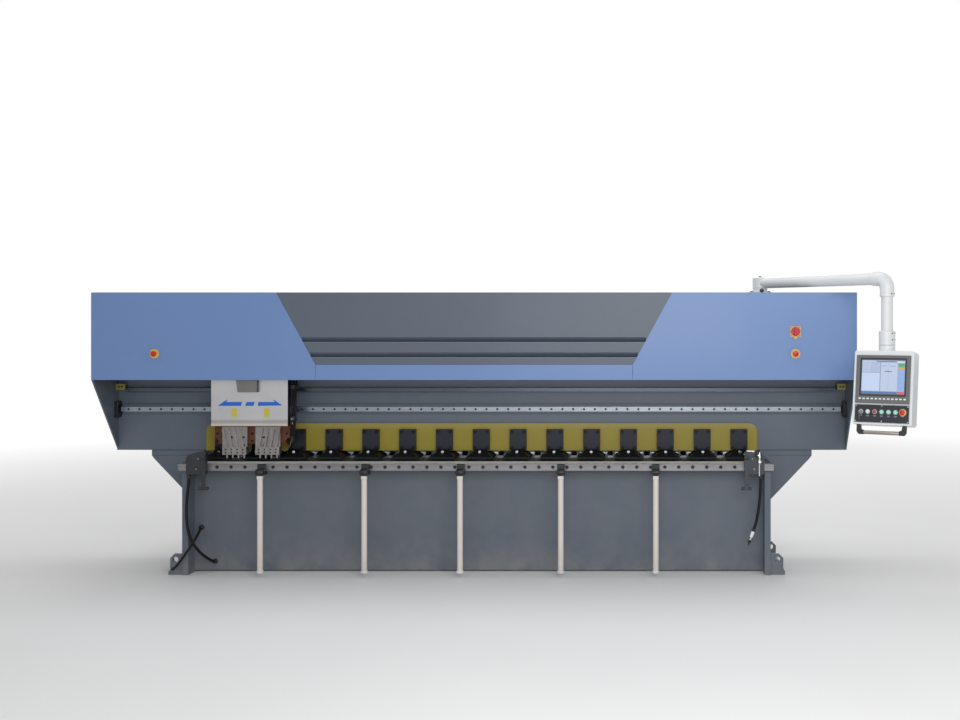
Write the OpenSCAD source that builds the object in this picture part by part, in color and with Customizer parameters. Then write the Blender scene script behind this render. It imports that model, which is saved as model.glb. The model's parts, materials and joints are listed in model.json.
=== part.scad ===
// CNC sheet V-grooving machine: base, cross beam, travelling tool carriage, press feet,
// rear gauge and hanging control console.
// +X is the operator's right, +Y the rear, +Z up; the origin is at floor level in the middle
// of the four anchor holes.

/* [Machine] */
// Overall length of the beam and its covers
machine_l = 5412; // [4400:1:6600]
// Height of the covers' top
machine_h = 2025; // [1900:1:2450]
// Height of the table above the floor
table_h = 805; // [660:1:970]
// Distance from the anchor centre line forward to the covers' face
cover_front = 367; // [330:1:440]
// Distance from the anchor centre line back to the beam's rear wall
beam_back = 480; // [420:1:580]

/* [Base] */
// Thickness of the side frames
side_t = 43; // [25:1:60]
// Thickness of the table plate
table_t = 40; // [25:1:60]
// Distance from the anchor centre line forward to the base's front edge
base_front = 250; // [230:1:262]
// Distance from the anchor centre line back to the base's rear face
base_back = 420; // [380:1:470]
// Height of the front bar
bar_h = 55; // [45:1:70]
// Thickness of the front bar
bar_t = 27; // [20:1:35]
// Half the distance between front and rear anchor holes
anchor_y = 150; // [120:1:180]
// Diameter of an anchor hole
anchor_d = 22; // [16:1:30]

/* [Press] */
// Pitch of the press feet
clamp_pitch = 272; // [240:1:330]
// Clear height between the table and the beam
slot_h = 61; // [50:1:80]
// Lift of the press feet above the table at rest
foot_lift = 12; // [8:1:16]
// Diameter of a press rod
rod_d = 30; // [20:1:36]

/* [Carriage] */
// Position of the carriage along the beam at rest, from the middle
carriage_x = -1628; // [-1800:1:0]
// Width of a guide rail
rail_w = 35; // [30:1:45]
// Width of the carriage cover
hood_w = 552; // [500:1:640]
// Number of cutters in a holder
cutters_n = 4; // [3:1:4]

/* [Console] */
// Width of the console
console_w = 395; // [340:1:480]
// Height of the console
console_h = 490; // [440:1:590]
// Depth of the console
console_t = 140; // [110:1:170]
// Outside diameter of the swing arm
arm_d = 80; // [60:1:96]

/* [Hidden] */
$fn = 48;

// Clearances: run is between parts that move past each other, fit is radial in a bearing
run = 0.3;
fit = 0.05;

// Length, from the middle outwards
end_margin = 666;
press_n = floor((machine_l - 2 * end_margin) / clamp_pitch);
press_half = press_n * clamp_pitch / 2;
beam_half = machine_l / 2;
end_t = 12;
inner_half = beam_half - end_t;
base_half = press_half + 70;
slot_half = press_half + 20;
column_t = 25;
flange_t = 35;
shoulder_half = press_half + 405;

// Heights
table_z0 = table_h - table_t;
strip_t = 10;
panel_t = 20;
panel_y = -base_front + 127;
gland_d = 34;
beam_z0 = table_h + slot_h;
shoulder_h = 39;
gusset_drop = 311;
cover_h = 619;
cover_z0 = machine_h - cover_h;
sheet_t = 3;
beam_z1 = machine_h - sheet_t;

// Depths, along Y
cover_y = -cover_front;
beam_y0 = 33;
beam_wall = 20;
pad_t = 18;
rail_base_y = beam_y0 - pad_t;
rail_t = 30;
rail_y = rail_base_y - rail_t;
column_y0 = 25;

// Guide rails and rack
rail_z = beam_z0 + 306;
rail2_z = machine_h - 333;
rail_end = 51;
rail_half = inner_half - rail_end + 12;
module_mm = 3;
pinion_teeth = 20;
pinion_r = module_mm * pinion_teeth / 2;
pitch_z = rail_z + 128;
rack_w = 30;
rack_h = 24;
rack_z0 = pitch_z + 1.25 * module_mm;
rack_half = rail_half - 40;

// Front bar and what hangs on it
bar_y0 = -base_front - bar_t;
bar_z1 = table_h - 2;
bar_z0 = bar_z1 - bar_h;
bar_half = base_half + 20;
bar_pitch = 100;
arm_xs = [-1525, -785, -105, 610, 1285];
knuckle_w = 54;
ear_t = 7;
hinge_y = bar_y0 - 51;
hinge_z = bar_z0 - 1;
hinge_d = 12;
tube_d = 40;
bracket_t = 35;
bracket_drop = 16;
fitting_d = 26;

// Feet
foot_x = base_half + 55;
foot_w = 92;
foot_t = 28;
lug_y = anchor_y + 73;
lug_t = 25;
lug_h = 150;
lug_hole_d = 41;
lug_hole_z = 109;

// Press
plate_t = 15;
plate_h = 203;
block_w = 124;
block_h = 154;
block_t = 25;
plate_z0 = beam_z0 - 3;
block_z0 = plate_z0 + 6;
block_y0 = beam_y0 - plate_t - block_t;
screw_x = 44;
screw_z = 58;
screw_d = 16;
head_d = 24;
head_h = 14;
press_rod_y = beam_y0 + 37;
shoe_w = 196;
shoe_top_w = 124;
shoe_h = 36;
boss_w = 92;
boss_h = 25;
shoe_y0 = -132;
shoe_z0 = table_h + foot_lift;

// Carriage
block_l = 110;
bearing_w = 70;
bearing_reach = 200;
saddle_y = rail_base_y - 48;
saddle_t = 30;
saddle_w = 480;
saddle_z0 = rail_z - 62;
saddle_z1 = rail2_z + 62;
gib_w = 24;
slide_half = saddle_w / 2 - gib_w - run;
slide_t = 30;
slide_y = saddle_y - saddle_t - run;
slide_z1 = rail_z - 20;
hood_y = saddle_y - 214;
hood_z0 = rail_z - 102;
hood_z1 = cover_z0 + 95;
screw_y = slide_y - slide_t - 28;
ball_d = 25;
nut_h = 42;
nut_z0 = slide_z1 - nut_h;
bearing_z0 = rail_z + 190;
bearing_h = 40;
motor_w = 110;
shaft_d = 28;

// Tools
block_low = table_h + 132;
tool_y0 = saddle_y - 182;
holder_w = 180;
holder_x = 119;
holder_z0 = table_h + 55;
holder_z1 = hood_z0 - 8;
holder_t = 26;
clamp_bar_h = 55;
tip_z = table_h + 24;
tip_y = tool_y0 + 30;
tip_w = 12;
tip_pitch = 41;

// Rear gauge
gauge_y = 760;
gauge_end = 1650;
side_w = 120;
side_h = 140;
side_z1 = table_h - 165;
gauge_x = press_half - 340;
guide_w = 25;
guide_h = 25;
gauge_w = 120;
gauge_z0 = table_h - 65;
gauge_h = 120;
gauge_half = press_half - 50;
shaft2_d = 30;
rack_top = side_z1 + 20;
shaft_z = rack_top + 0.25 * module_mm + module_mm * (pinion_teeth / 2 + 1);
grip_w = 56;
grip_tip = 60;
lip_z0 = table_h + 1;
lip_t = 4;
jaw_gap = 2;
jaw_l = 90;
jaw_h = 30;
jaw_pin_z = lip_z0 + lip_t + 20;
jaw_y = grip_tip + jaw_l;

// Swing arm and console
post_x = press_half + 30;
post_y = 100;
arm_z = machine_h + 80;
arm_bore = arm_d - 9;
elbow_dx = 743;
elbow_dy = -950;
elbow_r = 110;
collar_d = arm_d + 24;
console_yaw = 27;
console_tilt = 9;
console_top = machine_h - 407;
console_cx = post_x + elbow_dx;
console_cy = post_y + elbow_dy;
face_t = 8;
bezel_w = console_w - 35;
bezel_h = 318;
panel_h = 118;
button_pitch = 46;
button_up = 85;
cap_r = 11;
stem_r = 8;

// Switches on the covers
switch_x = beam_half - 435;
stop_left_x = -(beam_half - 449);
stop_z = cover_z0 + 186;
isolator_z = cover_z0 + 343;

// Hose routes, from the fitting downwards
hose_d = 20;
cable_d = 16;
nozzle_top = [1984, -292, 336];
nozzle_tip = [1945, -292, 225];
air_route = [[2034, -292, 720], [2034, -292, 695], [2033, -292, 650], [2031, -292, 605],
    [2028, -292, 560], [2023, -292, 515], [2017, -292, 470], [2009, -292, 425],
    [1999, -292, 380], [1984, -292, 336]];
left_route = [[-2045, -292, 720], [-2045, -292, 695], [-2050, -292, 640], [-2056, -293, 580],
    [-2060, -295, 520], [-2060, -297, 450], [-2056, -297, 380], [-2047, -294, 320],
    [-2033, -286, 265], [-2012, -270, 215], [-1988, -247, 170], [-1964, -218, 132],
    [-1942, -188, 104], [-1926, -164, 86], [-1917, -147, 78], [-1915, -129, 76]];
ground_route = [[-2015, -129, 323], [-2015, -143, 321], [-2017, -167, 302], [-2022, -200, 273],
    [-2030, -230, 246], [-2041, -252, 219], [-2056, -266, 190], [-2077, -271, 159],
    [-2100, -271, 127], [-2122, -270, 97], [-2146, -266, 68], [-2168, -259, 50],
    [-2181, -248, 42], [-2183, -236, 40]];

// ---------- helpers ----------

// A block given by its low and high corners
module span(low, high) {
    translate(low) cube(high - low);
}

// A flat outline in X and Z, given thickness t from y towards +Y
module wall_xz(y, t) {
    translate([0, y + t, 0]) rotate([90, 0, 0]) linear_extrude(t) children();
}

// A flat outline in Y and Z, given thickness t from x towards +X
module wall_yz(x, t) {
    translate([x, 0, 0]) rotate([90, 0, 90]) linear_extrude(t) children();
}

// The children and their mirror image across the middle of the machine
module both_ends() {
    children();
    mirror([1, 0, 0]) children();
}

// A cylinder along Y from y0 to y1
module rod_y(x, z, d, y0, y1) {
    translate([x, y1, z]) rotate([90, 0, 0]) cylinder(d = d, h = y1 - y0);
}

// A cylinder along X from x0 to x1
module rod_x(y, z, d, x0, x1) {
    translate([x0, y, z]) rotate([0, 90, 0]) cylinder(d = d, h = x1 - x0);
}

// Centre of press foot i
function press_x(i) = (i - (press_n - 1) / 2) * clamp_pitch;

// Outline of a straight-sided gear of the given tooth count
function gear_outline(teeth) = let (tip = module_mm * (teeth / 2 + 1),
    root = module_mm * (teeth / 2 - 1.25), step = 360 / teeth)
    [for (i = [0 : teeth - 1]) each [for (p = [[-0.34, root], [-0.14, tip], [0.14, tip],
        [0.34, root]]) p[1] * [cos((i + p[0]) * step), sin((i + p[0]) * step)]]];

// A tube of sides faces swept along a route in which no stretch is vertical for a whole ring:
// each ring stands square to the line between its neighbours
function unit(v) = v / norm(v);
function tangent(route, i) = unit(route[min(i + 1, len(route) - 1)] - route[max(i - 1, 0)]);
function ring(route, i, r, sides) = let (t = tangent(route, i), u = unit(cross(t, [0.13, 0.99, 0.02])),
    w = cross(u, t)) [for (k = [0 : sides - 1]) route[i] + r * (u * cos(360 * k / sides)
        + w * sin(360 * k / sides))];
module line_tube(route, d, sides = 10) {
    n = len(route);
    points = [for (i = [0 : n - 1]) each ring(route, i, d / 2, sides)];
    walls = [for (i = [0 : n - 2], k = [0 : sides - 1]) let (a = i * sides + k,
        b = i * sides + (k + 1) % sides) [a, a + sides, b + sides, b]];
    ends = [[for (k = [0 : sides - 1]) k], [for (k = [sides - 1 : -1 : 0]) (n - 1) * sides + k]];
    polyhedron(points, concat(walls, ends), convexity = 8);
}

// ---------- base ----------

module side_frames() {
    color("dimgray") both_ends()
        span([base_half - side_t, -base_front, 0], [base_half, base_back, table_z0]);
}

module base_panels() {
    half = base_half - side_t;
    color("slategray") {
        union() {
            span([-half, panel_y, 10], [half, panel_y + panel_t, table_z0]);
            for (p = [ground_route[0], left_route[len(left_route) - 1]]) rod_y(p[0], p[2], gland_d, p[1], panel_y + 1);
        }
        span([-half, base_back - panel_t, 10], [half, base_back, table_z0]);
    }
}

module table_top() {
    color("dimgray") difference() {
        span([-base_half, -base_front, table_z0], [base_half, base_back, table_h]);
        span([-slot_half, -base_front - 1, table_h - strip_t], [slot_half, -base_front + 100, table_h + 1]);
    }
}

module wear_strip() {
    color("silver")
        span([-slot_half, -base_front, table_h - strip_t], [slot_half, -base_front + 100, table_h]);
}

// Bar with bevelled edges, a shallow long groove and counterbored screw holes
module front_bar() {
    bevel = 5;
    groove = 2;
    color("darkgray") difference() {
        wall_yz(-bar_half, 2 * bar_half) polygon([[-base_front, bar_z0], [-base_front, bar_z1],
            [bar_y0 + bevel, bar_z1], [bar_y0, bar_z1 - bevel], [bar_y0, bar_z1 - bar_h * 0.3],
            [bar_y0 + groove, bar_z1 - bar_h * 0.3 - groove], [bar_y0 + groove, bar_z0 + bar_h * 0.3 + groove],
            [bar_y0, bar_z0 + bar_h * 0.3], [bar_y0, bar_z0 + bevel], [bar_y0 + bevel, bar_z0]]);
        for (x = bar_screw_xs) {
            rod_y(x, bar_screw_z, screw_d + 1, bar_y0 - 1, -base_front + 1);
            rod_y(x, bar_screw_z, head_d + 2, bar_y0 - 1, bar_y0 + head_h + 3);
        }
    }
}
bar_screw_z = table_z0 + 14;
bar_screw_n = 2 * floor((bar_half - 30) / bar_pitch) - 1;
bar_screw_xs = [for (i = [0 : bar_screw_n]) (i - bar_screw_n / 2) * bar_pitch];

// Four welded feet, each with a holding-down hole and an upright lug with a lifting hole
module anchor_feet() {
    color("dimgray") both_ends() for (s = [-1, 1]) {
        low_y = s < 0 ? -lug_y - lug_t / 2 : anchor_y - 35;
        high_y = s < 0 ? -anchor_y + 35 : lug_y + lug_t / 2;
        x0 = s < 0 ? base_half : base_half + column_t;
        difference() {
            span([x0, low_y, 0], [base_half + foot_w + 12, high_y, foot_t]);
            translate([foot_x, s * anchor_y, -1]) cylinder(d = anchor_d, h = foot_t + 2);
        }
        difference() {
            wall_xz(s * lug_y - lug_t / 2, lug_t) polygon([[x0, foot_t],
                [base_half + foot_w, foot_t], [base_half + foot_w, lug_h - 30],
                [base_half + foot_w - 30, lug_h], [x0, lug_h]]);
            rod_y(base_half + 53, lug_hole_z, lug_hole_d, s * lug_y - lug_t, s * lug_y + lug_t);
        }
    }
}

// Column weldment: two gusseted flanges, an outer web, a shoulder plate and a slot end block
module columns() {
    outline = [[base_half, 0], [base_half + column_t, 0], [base_half + column_t, table_h - gusset_drop],
        [shoulder_half - 15, table_h], [shoulder_half, beam_z0 - shoulder_h],
        [shoulder_half, beam_z0], [slot_half, beam_z0], [slot_half, table_h], [base_half, table_h]];
    color("slategray") both_ends() union() {
        for (y = [column_y0, base_back - flange_t]) wall_xz(y, flange_t) polygon(outline);
        span([base_half, column_y0, 0], [base_half + column_t, base_back, table_h]);
        span([slot_half, column_y0, table_h], [base_half + column_t, base_back, beam_z0]);
        span([slot_half, column_y0, beam_z0 - shoulder_h], [shoulder_half, base_back, beam_z0]);
    }
}

// ---------- beam and covers ----------

// Box beam, open at both ends, with raised pads behind the guide rails and the rack, and a bore for
// each press rod
module beam() {
    color("slategray") difference() {
        union() {
            span([-inner_half, beam_y0, beam_z0], [inner_half, beam_back, beam_z1]);
            for (z = [rail_z, rail2_z])
                span([-rail_half, rail_base_y, z - rail_w], [rail_half, beam_y0, z + rail_w]);
            span([-rack_half, rail_base_y, rack_z0], [rack_half, beam_y0, rack_z0 + rack_h]);
        }
        span([-inner_half - 1, beam_y0 + beam_wall, beam_z0 + beam_wall],
            [inner_half + 1, beam_back - beam_wall, beam_z1 - beam_wall]);
        for (i = [0 : press_n - 1]) translate([press_x(i), press_rod_y, beam_z0 - 1])
            cylinder(d = rod_d + 2 * fit, h = beam_wall + 2);
    }
}

module end_plates() {
    color("slategray") both_ends() wall_yz(inner_half, end_t) polygon([[cover_y + sheet_t, cover_z0],
        [cover_y + sheet_t, machine_h], [beam_back, machine_h], [beam_back, beam_z0],
        [beam_y0, beam_z0], [beam_y0, beam_z0 + 11]]);
}

recess_top = press_half - 640;
recess_low = press_half - 920;
strip_h = 107;

// Front sheets with inward return flanges; a narrow seam parts the middle strip from the two sides
module blue_covers() {
    seam = 2;
    flange = 36;
    color("cornflowerblue") {
        both_ends() union() {
            wall_xz(cover_y, sheet_t) polygon([[recess_low + seam / 2, cover_z0], [beam_half, cover_z0],
                [beam_half, machine_h], [recess_top, machine_h], [recess_low + seam / 2, cover_z0 + strip_h]]);
            span([recess_low + seam / 2, cover_y, cover_z0], [inner_half - 1, cover_y + flange, cover_z0 + sheet_t]);
        }
        union() {
            span([-recess_low + seam / 2, cover_y, cover_z0],
                [recess_low - seam / 2, cover_y + sheet_t, cover_z0 + strip_h]);
            span([-recess_low + seam / 2, cover_y, cover_z0],
                [recess_low - seam / 2, cover_y + flange, cover_z0 + sheet_t]);
        }
    }
}

// Recessed sheet with two long slots, each closed by a slanted blade; a slot ends just behind the
// slanted edges of the covers
module louvre_panel() {
    lap = 20;
    slot_w = 34;
    y = cover_y + sheet_t;
    function slot_reach(z) = recess_low + 8
        + (z - cover_z0 - strip_h) * (recess_top - recess_low) / (cover_h - strip_h);
    color("dimgray") {
        difference() {
            wall_xz(y, sheet_t) polygon([[-recess_low - lap, cover_z0 + strip_h - lap],
                [recess_low + lap, cover_z0 + strip_h - lap], [recess_top + lap, beam_z1],
                [-recess_top - lap, beam_z1]]);
            for (z = [cover_z0 + 160, cover_z0 + 268])
                span([-slot_reach(z), y - 1, z], [slot_reach(z), y + sheet_t + 1, z + slot_w]);
        }
        for (z = [cover_z0 + 160, cover_z0 + 268])
            wall_yz(-slot_reach(z) - 5, 2 * slot_reach(z) + 10) polygon([[y + sheet_t, z + slot_w],
                [y + sheet_t, z + slot_w + 6], [y + sheet_t + 34, z + 2], [y + sheet_t + 34, z - 4]]);
    }
}

module top_cover() {
    color("slategray")
        span([-inner_half, cover_y + sheet_t, beam_z1], [inner_half, beam_back, machine_h]);
}

// Two guide rails and the body of the drive rack below the covers
module beam_rails() {
    color("silver") {
        for (z = [rail_z, rail2_z])
            wall_yz(-rail_half, 2 * rail_half) polygon([[rail_base_y, z - rail_w / 2],
                [rail_base_y, z + rail_w / 2], [rail_base_y - 10, z + rail_w / 2],
                [rail_base_y - 15, z + rail_w / 2 - 4], [rail_base_y - 20, z + rail_w / 2],
                [rail_y, z + rail_w / 2], [rail_y, z - rail_w / 2], [rail_base_y - 20, z - rail_w / 2],
                [rail_base_y - 15, z - rail_w / 2 + 4], [rail_base_y - 10, z - rail_w / 2]]);
        span([-rack_half, rail_base_y - rack_w, rack_z0], [rack_half, rail_base_y, rack_z0 + rack_h]);
    }
}

// ---------- press ----------

module screw_grid() {
    for (i = [0 : press_n - 1], sx = [-1, 1], sz = [-1, 1])
        translate([press_x(i) + sx * screw_x, block_z0 + block_h / 2 + sz * screw_z]) children();
}

module press_plate() {
    corner = 61;
    color("gold") wall_xz(beam_y0 - plate_t, plate_t) difference() {
        union() {
            translate([-press_half, plate_z0]) square([2 * press_half, plate_h - corner]);
            translate([-press_half + corner, plate_z0]) square([2 * (press_half - corner), plate_h]);
            for (s = [-1, 1]) translate([s * (press_half - corner), plate_z0 + plate_h - corner])
                circle(r = corner);
        }
        screw_grid() circle(d = screw_d + 1);
    }
}

module press_blocks() {
    color("black") wall_xz(block_y0, block_t) difference() {
        for (i = [0 : press_n - 1]) translate([press_x(i) - block_w / 2, block_z0])
            square([block_w, block_h]);
        screw_grid() circle(d = screw_d + 1);
    }
}

// A socket cap screw along Y, its head's front face at y
module cap_screw(x, y, z, reach) {
    translate([x, y, z]) rotate([-90, 0, 0]) difference() {
        union() {
            cylinder(d = head_d, h = head_h);
            cylinder(d = screw_d, h = head_h + reach);
        }
        translate([0, 0, -1]) cylinder(d = head_d * 0.6, h = head_h * 0.5 + 1, $fn = 6);
    }
}

module socket_screws() {
    color("dimgray") {
        for (i = [0 : press_n - 1], sx = [-1, 1], sz = [-1, 1])
            cap_screw(press_x(i) + sx * screw_x, block_y0 - head_h, block_z0 + block_h / 2 + sz * screw_z,
                block_t + plate_t);
        for (x = bar_screw_xs) cap_screw(x, bar_y0 + 3, bar_screw_z, bar_t - head_h - 3);
    }
}

// Wedge-shaped foot: its front part and pin boss stand before the block, its tail under the beam's rod
module press_shoe() {
    shoulder = shoe_z0 + shoe_h;
    top = shoulder + boss_h;
    tail = beam_z0 - 11;
    intersection() {
        wall_xz(shoe_y0 - 1, 400) polygon([[-shoe_w / 2, shoe_z0], [shoe_w / 2, shoe_z0],
            [shoe_w / 2, shoe_z0 + 12], [shoe_top_w / 2, shoulder], [boss_w / 2, shoulder + 3],
            [boss_w / 2, top], [-boss_w / 2, top], [-boss_w / 2, shoulder + 3],
            [-shoe_top_w / 2, shoulder], [-shoe_w / 2, shoe_z0 + 12]]);
        wall_yz(-shoe_w, 2 * shoe_w) polygon([[shoe_y0, shoe_z0], [press_rod_y + 30, shoe_z0],
            [press_rod_y + 30, tail], [block_y0 - head_h - 4, tail], [block_y0 - head_h - 4, top],
            [block_y0 - head_h - 36, top], [shoe_y0, shoe_z0 + 14]]);
    }
}

module press_shoes() {
    pin_z = shoe_z0 + shoe_h + boss_h / 2;
    color("dimgray") for (i = [0 : press_n - 1]) translate([press_x(i), 0, 0]) union() {
        press_shoe();
        rod_y(0, pin_z, 20, shoe_y0 + 44, shoe_y0 + 92);
        translate([0, press_rod_y, beam_z0 - 12]) cylinder(d = rod_d, h = 120);
    }
}

// ---------- fittings on the beam and covers ----------

module rail_fittings() {
    color("gold") both_ends()
        span([inner_half - 67, beam_y0 - 53, rail_z + 142], [inner_half - 1, beam_y0, rail_z + 188]);
    color("black") both_ends() for (z = [rail_z, rail2_z])
        span([rail_half + 1, rail_y - 25, z - 60], [inner_half, beam_y0, z + 60]);
}

module stop_base(x) {
    rod_y(x, stop_z, 66, cover_y - 8, cover_y);
}

module switch_plates() {
    color("yellow") {
        for (x = [stop_left_x, switch_x]) difference() {
            stop_base(x);
            rod_y(x, stop_z, 22 + 2 * fit, cover_y - 9, cover_y + 1);
        }
        difference() {
            union() {
                span([switch_x - 36, cover_y - 6, isolator_z - 36], [switch_x + 36, cover_y, isolator_z + 36]);
                span([switch_x - 10, cover_y - 6, isolator_z - 52], [switch_x + 10, cover_y, isolator_z - 36]);
            }
            rod_y(switch_x, isolator_z, 20 + 2 * fit, cover_y - 9, cover_y + 1);
        }
    }
}

// Mushroom button with a stem in its base
module estop(x) {
    color("red") union() {
        rod_y(x, stop_z, 22, cover_y - 16, cover_y - 6);
        translate([x, cover_y - 14, stop_z]) rotate([90, 0, 0]) rotate_extrude()
            polygon([[0, 0], [18, 0], [20, 3], [20, 9], [16, 14], [0, 16]]);
    }
}

module estop_left() {
    estop(stop_left_x);
}

module estop_right() {
    estop(switch_x);
}

module isolator_knob() {
    color("red") union() {
        rod_y(switch_x, isolator_z, 20, cover_y - 10, cover_y - 1);
        rod_y(switch_x, isolator_z, 64, cover_y - 14, cover_y - 6 - run);
        span([switch_x - 9, cover_y - 38, isolator_z - 29], [switch_x + 9, cover_y - 13, isolator_z + 29]);
    }
}

// ---------- carriage ----------

module at_carriage() {
    translate([carriage_x, 0, 0]) children();
}

// Saddle with gibs for the tool slide, a bearing bracket for the screw and a bore for the pinion shaft
module carriage_plate() {
    color("slategray") at_carriage() difference() {
        union() {
            span([-saddle_w / 2, saddle_y - saddle_t, saddle_z0], [saddle_w / 2, saddle_y, saddle_z1]);
            for (s = [-1, 1]) {
                x = s < 0 ? -saddle_w / 2 : saddle_w / 2 - gib_w;
                span([x, slide_y - slide_t, saddle_z0], [x + gib_w, saddle_y - saddle_t, rail_z + 150]);
            }
            span([-60, screw_y - 50, bearing_z0], [60, saddle_y - saddle_t, bearing_z0 + bearing_h]);
        }
        translate([0, screw_y, bearing_z0 - 1]) cylinder(d = ball_d + 2 * fit, h = bearing_h + 2);
        rod_y(pinion_x, pitch_z - pinion_r, shaft_d + 2 * fit, saddle_y - saddle_t - 1, saddle_y + 1);
    }
}
pinion_x = 150;

module bearing_blocks() {
    low = rail_base_y - 7;
    color("silver") at_carriage() for (sx = [-1, 1], z = [rail_z, rail2_z])
        wall_yz(sx * (bearing_reach - block_l / 2) - block_l / 2, block_l) polygon([
            [saddle_y, z - bearing_w / 2], [saddle_y, z + bearing_w / 2], [low, z + bearing_w / 2],
            [low, z + rail_w / 2 + run], [rail_y - run, z + rail_w / 2 + run],
            [rail_y - run, z - rail_w / 2 - run], [low, z - rail_w / 2 - run], [low, z - bearing_w / 2]]);
}

// Folded hood round the tool head, with a box on its front that has one slanted side
module carriage_cover() {
    lip = 22;
    inner_y = saddle_y - saddle_t;
    box_right = 62;
    box_top_w = 168;
    box_low_w = 138;
    box_t = 26;
    color("lightgray") at_carriage() {
        difference() {
            span([-hood_w / 2, hood_y, hood_z0], [hood_w / 2, inner_y, hood_z1]);
            span([-hood_w / 2 + sheet_t, hood_y + sheet_t, hood_z0 - 1],
                [hood_w / 2 - sheet_t, inner_y + 1, hood_z1 + 1]);
        }
        span([-hood_w / 2, hood_y - sheet_t, hood_z0], [hood_w / 2, hood_y, hood_z0 + lip]);
        for (s = [-1, 1]) {
            x = s < 0 ? -hood_w / 2 + sheet_t : saddle_w / 2;
            span([x, inner_y, hood_z0 + 40], [x + (hood_w - saddle_w) / 2 - sheet_t, inner_y + 4, hood_z1]);
        }
        wall_xz(hood_y - box_t, box_t) polygon([[box_right - box_top_w, hood_z1], [box_right, hood_z1],
            [box_right, hood_z1 - 188], [box_right - box_low_w, hood_z1 - 188]]);
    }
}

// Travel drive with its angle gearbox, and the vertical drive above the screw
module servo_motors() {
    y1 = saddle_y - saddle_t;
    z0 = pitch_z - pinion_r;
    color("dimgray") at_carriage() {
        union() {
            span([pinion_x - 50, y1 - 105, z0 - 50], [pinion_x + 50, y1, z0 + 60]);
            span([pinion_x - motor_w / 2, y1 - 112, z0 + 60], [pinion_x + motor_w / 2, y1 - 2, z0 + 300]);
        }
        translate([0, screw_y, 0]) union() {
            span([-motor_w / 2, -50, bearing_z0 + bearing_h], [motor_w / 2, 50, bearing_z0 + bearing_h + 80]);
            span([-motor_w / 2 + 6, -44, bearing_z0 + bearing_h + 80],
                [motor_w / 2 - 6, 44, bearing_z0 + bearing_h + 200]);
        }
    }
}

module drive_pinion() {
    color("silver") at_carriage() union() {
        translate([pinion_x, rail_base_y - 5, pitch_z - pinion_r]) rotate([90, 0, 0])
            linear_extrude(rack_w - 7) rotate(90) polygon(gear_outline(pinion_teeth));
        rod_y(pinion_x, pitch_z - pinion_r, shaft_d, saddle_y - saddle_t + run, rail_base_y - 6);
    }
}

module ball_screw() {
    color("silver") at_carriage() translate([0, screw_y, nut_z0 - 8])
        cylinder(d = ball_d, h = bearing_z0 + bearing_h - run - nut_z0 + 8);
}

// Slide plate between the gibs, with the screw's nut
module tool_slide() {
    color("silver") at_carriage() difference() {
        union() {
            span([-slide_half, slide_y - slide_t, saddle_z0 - 90], [slide_half, slide_y, slide_z1]);
            span([-38, screw_y - 30, nut_z0], [38, slide_y - slide_t, nut_z0 + nut_h]);
        }
        translate([0, screw_y, nut_z0 - 1]) cylinder(d = ball_d + 2 * fit, h = nut_h + 2);
    }
}

module tool_block() {
    color("saddlebrown") at_carriage() difference() {
        span([-hood_w / 2 + 6, tool_y0 + holder_t, block_low],
            [hood_w / 2 - 6, slide_y - slide_t, saddle_z0 - 12]);
        for (s = [-1, 1]) span([s * 400 - 150, tool_y0, block_low - 1],
            [s * 400 + 150, slide_y - slide_t - 25, block_low + 40]);
        translate([0, screw_y, saddle_z0 - 90]) cylinder(d = ball_d + 8, h = 90);
    }
}

// Two holders: back plate, slanted shanks and a clamp bar with two rows of screw holes
module tool_holders() {
    color("gray") at_carriage() for (s = [-1, 1]) translate([s * holder_x, 0, 0]) union() {
        span([-holder_w / 2, tool_y0 + 8, holder_z0 + clamp_bar_h], [holder_w / 2, tool_y0 + holder_t, holder_z1]);
        difference() {
            span([-holder_w / 2 + 4, tool_y0 - 6, holder_z0],
                [holder_w / 2 - 4, tool_y0 + holder_t + 22, holder_z0 + clamp_bar_h]);
            for (k = [0 : cutters_n - 1], z = [15, 38])
                rod_y((k - (cutters_n - 1) / 2) * tip_pitch, holder_z0 + z, 12, tool_y0 - 7, tool_y0 + 4);
        }
        for (k = [0 : cutters_n - 1]) translate([(k - (cutters_n - 1) / 2) * tip_pitch, 0, 0])
            wall_xz(tool_y0 - 4, 13) polygon([[-8, holder_z0 + clamp_bar_h - 1], [8, holder_z0 + clamp_bar_h - 1],
                [8 + s * 22, holder_z1 - 16], [-8 + s * 22, holder_z1 - 16]]);
    }
}

// Square shanks ground to a point
module cutters() {
    color("silver") at_carriage() for (s = [-1, 1], k = [0 : cutters_n - 1])
        translate([s * holder_x + (k - (cutters_n - 1) / 2) * tip_pitch, 0, 0])
            wall_xz(tip_y - tip_w / 2, tip_w) polygon([[-tip_w / 2, holder_z0], [tip_w / 2, holder_z0],
                [tip_w / 2, tip_z + 10], [1, tip_z], [-1, tip_z], [-tip_w / 2, tip_z + 10]]);
}

// ---------- rear gauge ----------

side_xs = [-gauge_x, 0, gauge_x];

// Three longitudinal beams with guides and racks, carried by the base and by legs with rails between
// them; the bolted parts stand a thin seam apart
module gauge_frame() {
    seam = run;
    z0 = side_z1 - side_h;
    leg_w = 100;
    leg_y = gauge_end - 100;
    color("slategray") {
        for (x = side_xs) {
            span([x - side_w / 2, base_back, z0], [x + side_w / 2, gauge_end, side_z1]);
            span([x - guide_w / 2, base_back + 30, side_z1 + seam],
                [x + guide_w / 2, gauge_end - 30, side_z1 + guide_h]);
            span([x + 28, base_back + 30, side_z1 + seam], [x + 52, gauge_end - 30, rack_top]);
            union() {
                span([x - leg_w / 2, leg_y, 12], [x + leg_w / 2, gauge_end, z0 - seam]);
                span([x - 80, leg_y - 30, 0], [x + 80, gauge_end + 30, 12]);
            }
        }
        for (x = [-gauge_x, 0]) span([x + leg_w / 2 + seam, leg_y + 20, z0 - 80],
            [x + gauge_x - leg_w / 2 - seam, gauge_end - 20, z0 - seam]);
    }
}

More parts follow.
